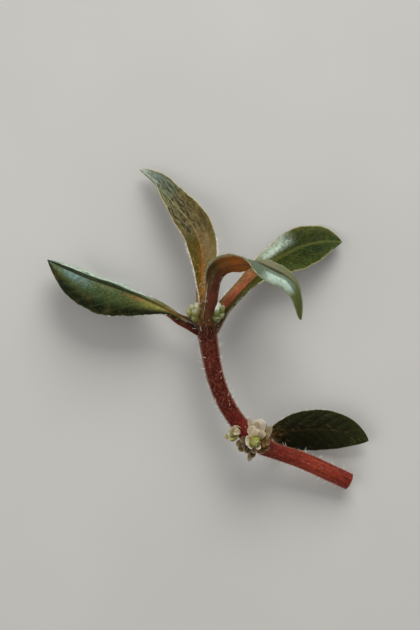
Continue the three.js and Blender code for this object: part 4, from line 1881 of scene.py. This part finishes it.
FLOWER_HEAD = new_head(
    "flower_head", "tepal",
    (
        ((7.5, -18.2, 0.5), (7.5, -18.6, 3.0), 0.85, 5, 0.0, 1.0, 0.1),
        ((7.2, -18.6, 0.4), (6.2, -20.0, 1.5), 0.6, 5, 1.0, 0.0, 0.2),
        ((6.8, -18.2, 0.6), (5.4, -19.2, 1.4), 0.55, 4, 0.95, 0.0, 0.2),
    ),
    (
        ((7.8, -18.0, 1.0), (8.3, -15.0, 2.4), (0.0, -0.4, 0.9), 2.0, 0.0, 0.0, 0.3, 0.22, 0.6, 0.5),
        ((8.0, -17.5, 0.7), (9.1, -15.7, 1.6), (-0.3, -0.4, 0.9), 1.3, 0.45, 0.0, 0.4, 0.2, 0.5, 0.4),
        ((7.5, -17.5, 0.8), (7.5, -15.4, 1.7), (0.1, -0.4, 0.9), 1.2, 0.4, 0.0, 0.4, 0.2, 0.5, 0.4),
        ((7.1, -17.1, 0.8), (6.7, -14.9, 1.5), (0.3, -0.4, 0.9), 0.85, 0.35, 0.0, 0.5, 0.2, 0.7, 0.5),
        ((7.5, -18.0, 1.3), (6.75, -16.1, 2.4), (0.3, -0.4, 0.8), 1.4, 0.12, 0.0, 0.35, 0.2, 0.5, 0.35),
        ((7.8, -18.1, 1.6), (7.5, -16.5, 2.8), (0.1, -0.5, 0.8), 1.25, 0.02, 0.0, 0.35, 0.2, 0.5, 0.35),
        ((8.1, -18.0, 1.5), (8.8, -16.9, 2.7), (-0.3, -0.5, 0.8), 1.1, 0.3, 0.0, 0.4, 0.18, 0.5, 0.35),
        ((8.7, -18.4, 0.9), (9.95, -16.0, 1.8), (-0.5, -0.4, 0.8), 0.95, 0.5, 0.0, 0.6, 0.2, 0.7, 0.6, 0.2),
        ((8.4, -18.4, 1.3), (9.5, -17.2, 2.2), (-0.6, -0.3, 0.8), 0.9, 0.4, 0.0, 0.5, 0.2, 0.6, 0.4, 0.35),
        ((7.4, -18.2, 1.3), (6.0, -18.4, 2.7), (0.6, 0.0, 0.8), 1.5, 0.0, 0.1, 0.35, 0.25, 0.5, 0.3),
        ((7.3, -18.5, 1.4), (6.5, -19.3, 2.6), (0.5, 0.4, 0.8), 1.1, 0.0, 0.35, 0.4, 0.2, 0.5, 0.3),
        ((8.7, -17.4, 1.6), (8.8, -19.3, 2.6), (-0.6, 0.3, 0.8), 0.9, 1.0, 0.0, 0.4, 0.15, 0.6, 0.6, 0.7),
        ((8.7, -18.2, 1.0), (9.6, -18.8, 2.1), (-0.6, 0.1, 0.8), 0.9, 0.8, 0.0, 0.4, 0.15, 0.5, 0.4),
        ((6.8, -18.4, 0.8), (4.6, -18.9, 1.3), (0.3, 0.1, 0.9), 1.2, 0.95, 0.0, 0.6, 0.2, 0.6, 0.4),
        ((6.9, -18.1, 1.0), (5.2, -18.2, 1.8), (0.5, -0.1, 0.9), 0.9, 0.9, 0.0, 0.5, 0.15, 0.6, 0.35),
        ((6.7, -18.7, 0.7), (5.0, -19.8, 1.2), (0.3, 0.3, 0.9), 1.1, 1.0, 0.0, 0.5, 0.2, 0.6, 0.4),
        ((7.0, -18.8, 1.0), (5.9, -20.1, 1.8), (0.4, 0.4, 0.8), 1.2, 0.9, 0.0, 0.45, 0.15, 0.6, 0.35),
        ((7.4, -19.1, 0.8), (6.5, -21.5, 1.0), (0.2, 0.3, 0.9), 0.9, 0.8, 0.0, 0.6, 0.15, 0.7, 0.6),
        ((7.4, -19.0, 0.7), (7.1, -20.9, 1.1), (0.1, 0.4, 0.9), 0.9, 1.0, 0.0, 0.5, 0.15, 0.6, 0.4),
        ((7.5, -18.9, 1.2), (7.3, -20.2, 2.1), (0.0, 0.5, 0.8), 1.0, 0.85, 0.0, 0.4, 0.15, 0.5, 0.35),
        ((7.9, -18.7, 1.5), (8.0, -19.6, 2.6), (-0.1, 0.5, 0.8), 0.8, 0.3, 0.3, 0.4, 0.15, 0.5, 0.35),
        ((8.2, -18.8, 0.8), (8.7, -20.3, 1.4), (-0.2, 0.4, 0.9), 1.0, 1.0, 0.0, 0.5, 0.15, 0.6, 0.4),
        ((8.4, -18.7, 1.0), (9.5, -19.7, 1.8), (-0.4, 0.4, 0.8), 1.0, 1.0, 0.0, 0.4, 0.15, 0.5, 0.35),
    ),
)
FLOWER_BUD = new_head(
    "flower_bud", "tepal",
    (
        ((5.2, -17.0, 0.4), (2.9, -17.9, 0.8), 0.58, 5, 0.15, 0.85, 0.0),
    ),
    (
        ((5.2, -17.1, 0.9), (3.3, -17.0, 1.9), (0.2, -0.3, 0.9), 1.5, 0.0, 0.1, 0.5, 0.25, 0.6, 0.5),
        ((5.4, -16.8, 0.8), (4.1, -16.3, 1.4), (0.2, -0.4, 0.9), 0.9, 0.2, 0.0, 0.4, 0.2, 0.6, 0.35),
        ((5.3, -17.1, 1.1), (4.3, -17.1, 2.0), (0.3, -0.2, 0.9), 0.9, 0.2, 0.0, 0.3, 0.2, 0.6, 0.35),
        ((5.1, -17.3, 0.9), (3.5, -17.9, 1.8), (0.3, 0.3, 0.9), 0.95, 0.0, 0.85, 0.4, 0.25, 0.6, 0.4),
        ((5.0, -17.3, 0.4), (3.7, -18.3, 1.0), (0.2, 0.3, 0.9), 1.1, 0.4, 0.9, 0.5, 0.2, 0.6, 0.4),
    ),
)
LEFT_BUDS = new_head(
    "bud_cluster_left", "bract",
    (
        ((-1.3, 0.1, 0.9), (-2.2, 2.0, 1.5), 0.62, 4, 0.6, 0.15, 0.0),
        ((-1.2, 0.2, 1.1), (-1.3, 2.3, 1.8), 0.5, 4, 0.3, 0.0, 0.3, 0.15),
        ((-1.4, 0.0, 0.9), (-2.8, 1.1, 1.7), 0.5, 4, 0.9, 0.2, 0.1),
        ((-1.2, 0.0, 1.0), (-1.8, 1.1, 2.4), 0.48, 4, 0.75, 0.15, 0.2),
        ((-1.0, -0.4, 0.9), (-1.9, 0.2, 2.0), 0.42, 4, 1.0, 0.2, 0.4),
    ),
)
RIGHT_BUDS = new_head(
    "bud_cluster_right", "bract",
    (
        ((1.8, 0.2, 1.0), (1.95, 2.45, 1.7), 0.62, 4, 0.0, 0.0, 0.0, 0.95),
        ((1.8, 0.0, 1.0), (2.8, 1.9, 1.75), 0.58, 4, 0.1, 0.7, 0.3),
        ((1.7, 0.0, 1.1), (2.8, 0.5, 1.9), 0.42, 4, 0.1, 0.7, 0.1),
        ((1.6, 0.1, 1.2), (1.9, 1.2, 2.4), 0.42, 4, 0.0, 0.8, 0.2),
        ((1.4, -0.4, 1.0), (1.9, 0.1, 2.1), 0.42, 4, 0.2, 0.9, 0.4),
    ),
)


@dataclass(frozen=True)
class AreaLight:
    """A soft square light that looks at the frame's middle."""

    name: str
    place: Place
    size: float
    power: float
    colour: tuple[float, float, float]

    def build(self) -> None:
        """Makes the light and aims it."""
        data = bpy.data.lights.new(self.name, "AREA")
        data.size, data.energy, data.color = self.size, self.power, self.colour
        light = bpy.data.objects.new(self.name, data)
        light.location = Vector(self.place)
        light.rotation_mode = "QUATERNION"
        light.rotation_quaternion = (-Vector(self.place)).to_track_quat("-Z", "Y")
        bpy.context.scene.collection.objects.link(light)


@dataclass(frozen=True)
class Studio:
    """The floor, the lights and the camera that looks straight down.

    The camera's aim and height are in millimetres from the upper node. Half the floor is in metres.
    """

    camera_aim: tuple[float, float] = (0.75, 0.45)
    camera_height: float = 393.75
    lens: float = 150.0
    floor_half: float = 1.5
    floor_colour: Colour = (0.52, 0.52, 0.505, 1.0)
    sky: Colour = (1.0, 0.985, 0.95, 1.0)
    sky_strength: float = 0.4
    lights: tuple[AreaLight, ...] = (
        AreaLight("key", (0.08, 0.42, 0.3), 0.35, 2.4, (1.0, 0.99, 0.96)),
        AreaLight("fill", (-0.35, -0.1, 0.4), 0.4, 0.7, (1.0, 0.99, 0.97)),
    )

    def build_camera(self) -> None:
        """Makes the camera at the photograph's viewing angle."""
        data = bpy.data.cameras.new("camera")
        data.lens, data.clip_start, data.clip_end = self.lens, 0.01, 10.0
        camera = bpy.data.objects.new("camera", data)
        camera.location = Vector(np.array([*self.camera_aim, self.camera_height]) * MM + upper_node())
        bpy.context.scene.collection.objects.link(camera)
        bpy.context.scene.camera = camera

    def build_floor(self) -> None:
        """Makes the plain pale floor."""
        material, shader, surface = new_material("floor")
        tone = shader.span(shader.noise(shader.place(), 30.0, detail=2.0), 0.3, 0.7, 0.98, 1.02)
        shader.fill(surface, {"Base Color": shader.mix(1.0, self.floor_colour, tone, "MULTIPLY"),
                              "Roughness": 0.9})
        half = self.floor_half
        mesh = bpy.data.meshes.new("floor")
        corners = [(-half, -half, 0), (half, -half, 0), (half, half, 0), (-half, half, 0)]
        mesh.from_pydata(corners, [], [(0, 1, 2, 3)])
        mesh.materials.append(material)
        floor = bpy.data.objects.new("floor", mesh)
        bpy.context.scene.collection.objects.link(floor)

    def build(self) -> None:
        """Makes the whole studio."""
        self.build_camera()
        self.build_floor()
        for light in self.lights:
            light.build()
        world = bpy.data.worlds.new("sky")
        world.use_nodes = True
        background = world.node_tree.nodes["Background"]
        background.inputs["Color"].default_value = self.sky
        background.inputs["Strength"].default_value = self.sky_strength
        bpy.context.scene.world = world
        bpy.context.scene.view_settings.view_transform = "Standard"


@dataclass
class Sprig:
    """The whole sprig: its stem, leaves, heads and hairs.

    fuzz and long are the hairs of the stem, short those of the leaves and the buds, and fine the lower
    leaf's golden ones.
    """

    stem: Stem
    leaves: tuple[Leaf, ...]
    flowers: tuple[Head, ...]
    buds: tuple[Head, ...]
    fuzz: Hairs = Hairs(0.12, 0.36, 0.017, curve=0.5)
    long: Hairs = Hairs(0.4, 0.95, 0.04)
    short: Hairs = Hairs(0.2, 0.5, 0.02)
    fine: Hairs = Hairs(0.4, 1.1, 0.016)
    seed: int = 7

    def build(self) -> None:
        """Makes every piece."""
        effects = Effects(pebble_group(), tone_group(), grain_group(), streak_group())
        self.stem.build(effects)
        for leaf in self.leaves:
            leaf.build(effects)
        tepal, bract = TEPAL_FINISH.material("tepal", effects), BRACT_FINISH.material("bract", effects)
        for material, heads in ((tepal, self.flowers), (bract, self.buds)):
            for head in heads:
                head.build(material)
        self.build_hairs()

    def build_hairs(self) -> None:
        """Makes the hairs of the stem, the leaves and the buds, each as one piece.

        Every leaf has hairs on its margins and below, and the upright and the lower leaf have some above.
        """
        random = np.random.default_rng(self.seed)
        on_leaf = LEAF_HAIRS.material("leaf hair")
        down = self.stem.hair_roots(random, count=3000, lie=1.2, rows=0.4)
        make_piece("stem_fuzz", [self.fuzz.skin(down, random)], STEM_HAIRS.material("stem hair"))
        standing = self.stem.hair_roots(random, count=190, lie=0.3, rows=0.75)
        make_piece("stem_hairs", [self.long.skin(standing, random)], on_leaf)
        skins = []
        for leaf in self.leaves:
            skins.append(self.short.skin(leaf.margin_hairs(random, low=0.03), random))
            roots = leaf.face_hairs(random, count=24, low=0.03, high=0.3, below=1.0)
            skins.append(self.short.skin(roots, random))
        by_name = {leaf.name: leaf for leaf in self.leaves}
        roots = by_name["leaf_upright"].face_hairs(random, count=50, low=0.03, high=0.36)
        skins.append(self.short.skin(roots, random))
        make_piece("leaf_hairs", skins, on_leaf)
        golden = []
        for count, low, high in ((60, 0.05, 0.9), (170, 0.0, 0.2)):
            roots = by_name["leaf_lower"].face_hairs(random, count, low, high)
            golden.append(self.fine.skin(roots, random))
        make_piece("lower_leaf_hairs", golden, GOLDEN_HAIRS.material("golden hair"))
        buds = [self.short.skin(head.hair_roots(random, count=4), random) for head in self.buds]
        make_piece("bud_hairs", buds, on_leaf)


def main() -> None:
    """Builds the studio and the sprig."""
    logging.basicConfig(level=logging.INFO, format="%(name)s %(message)s")
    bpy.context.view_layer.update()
    Studio().build()
    stem = Stem(STEM_FINISH, STEM_AXIS, tuple(node.value for node in Node))
    Sprig(stem, LEAVES, (FLOWER_HEAD, FLOWER_BUD), (LEFT_BUDS, RIGHT_BUDS)).build()


if __name__ == "__main__":
    main()
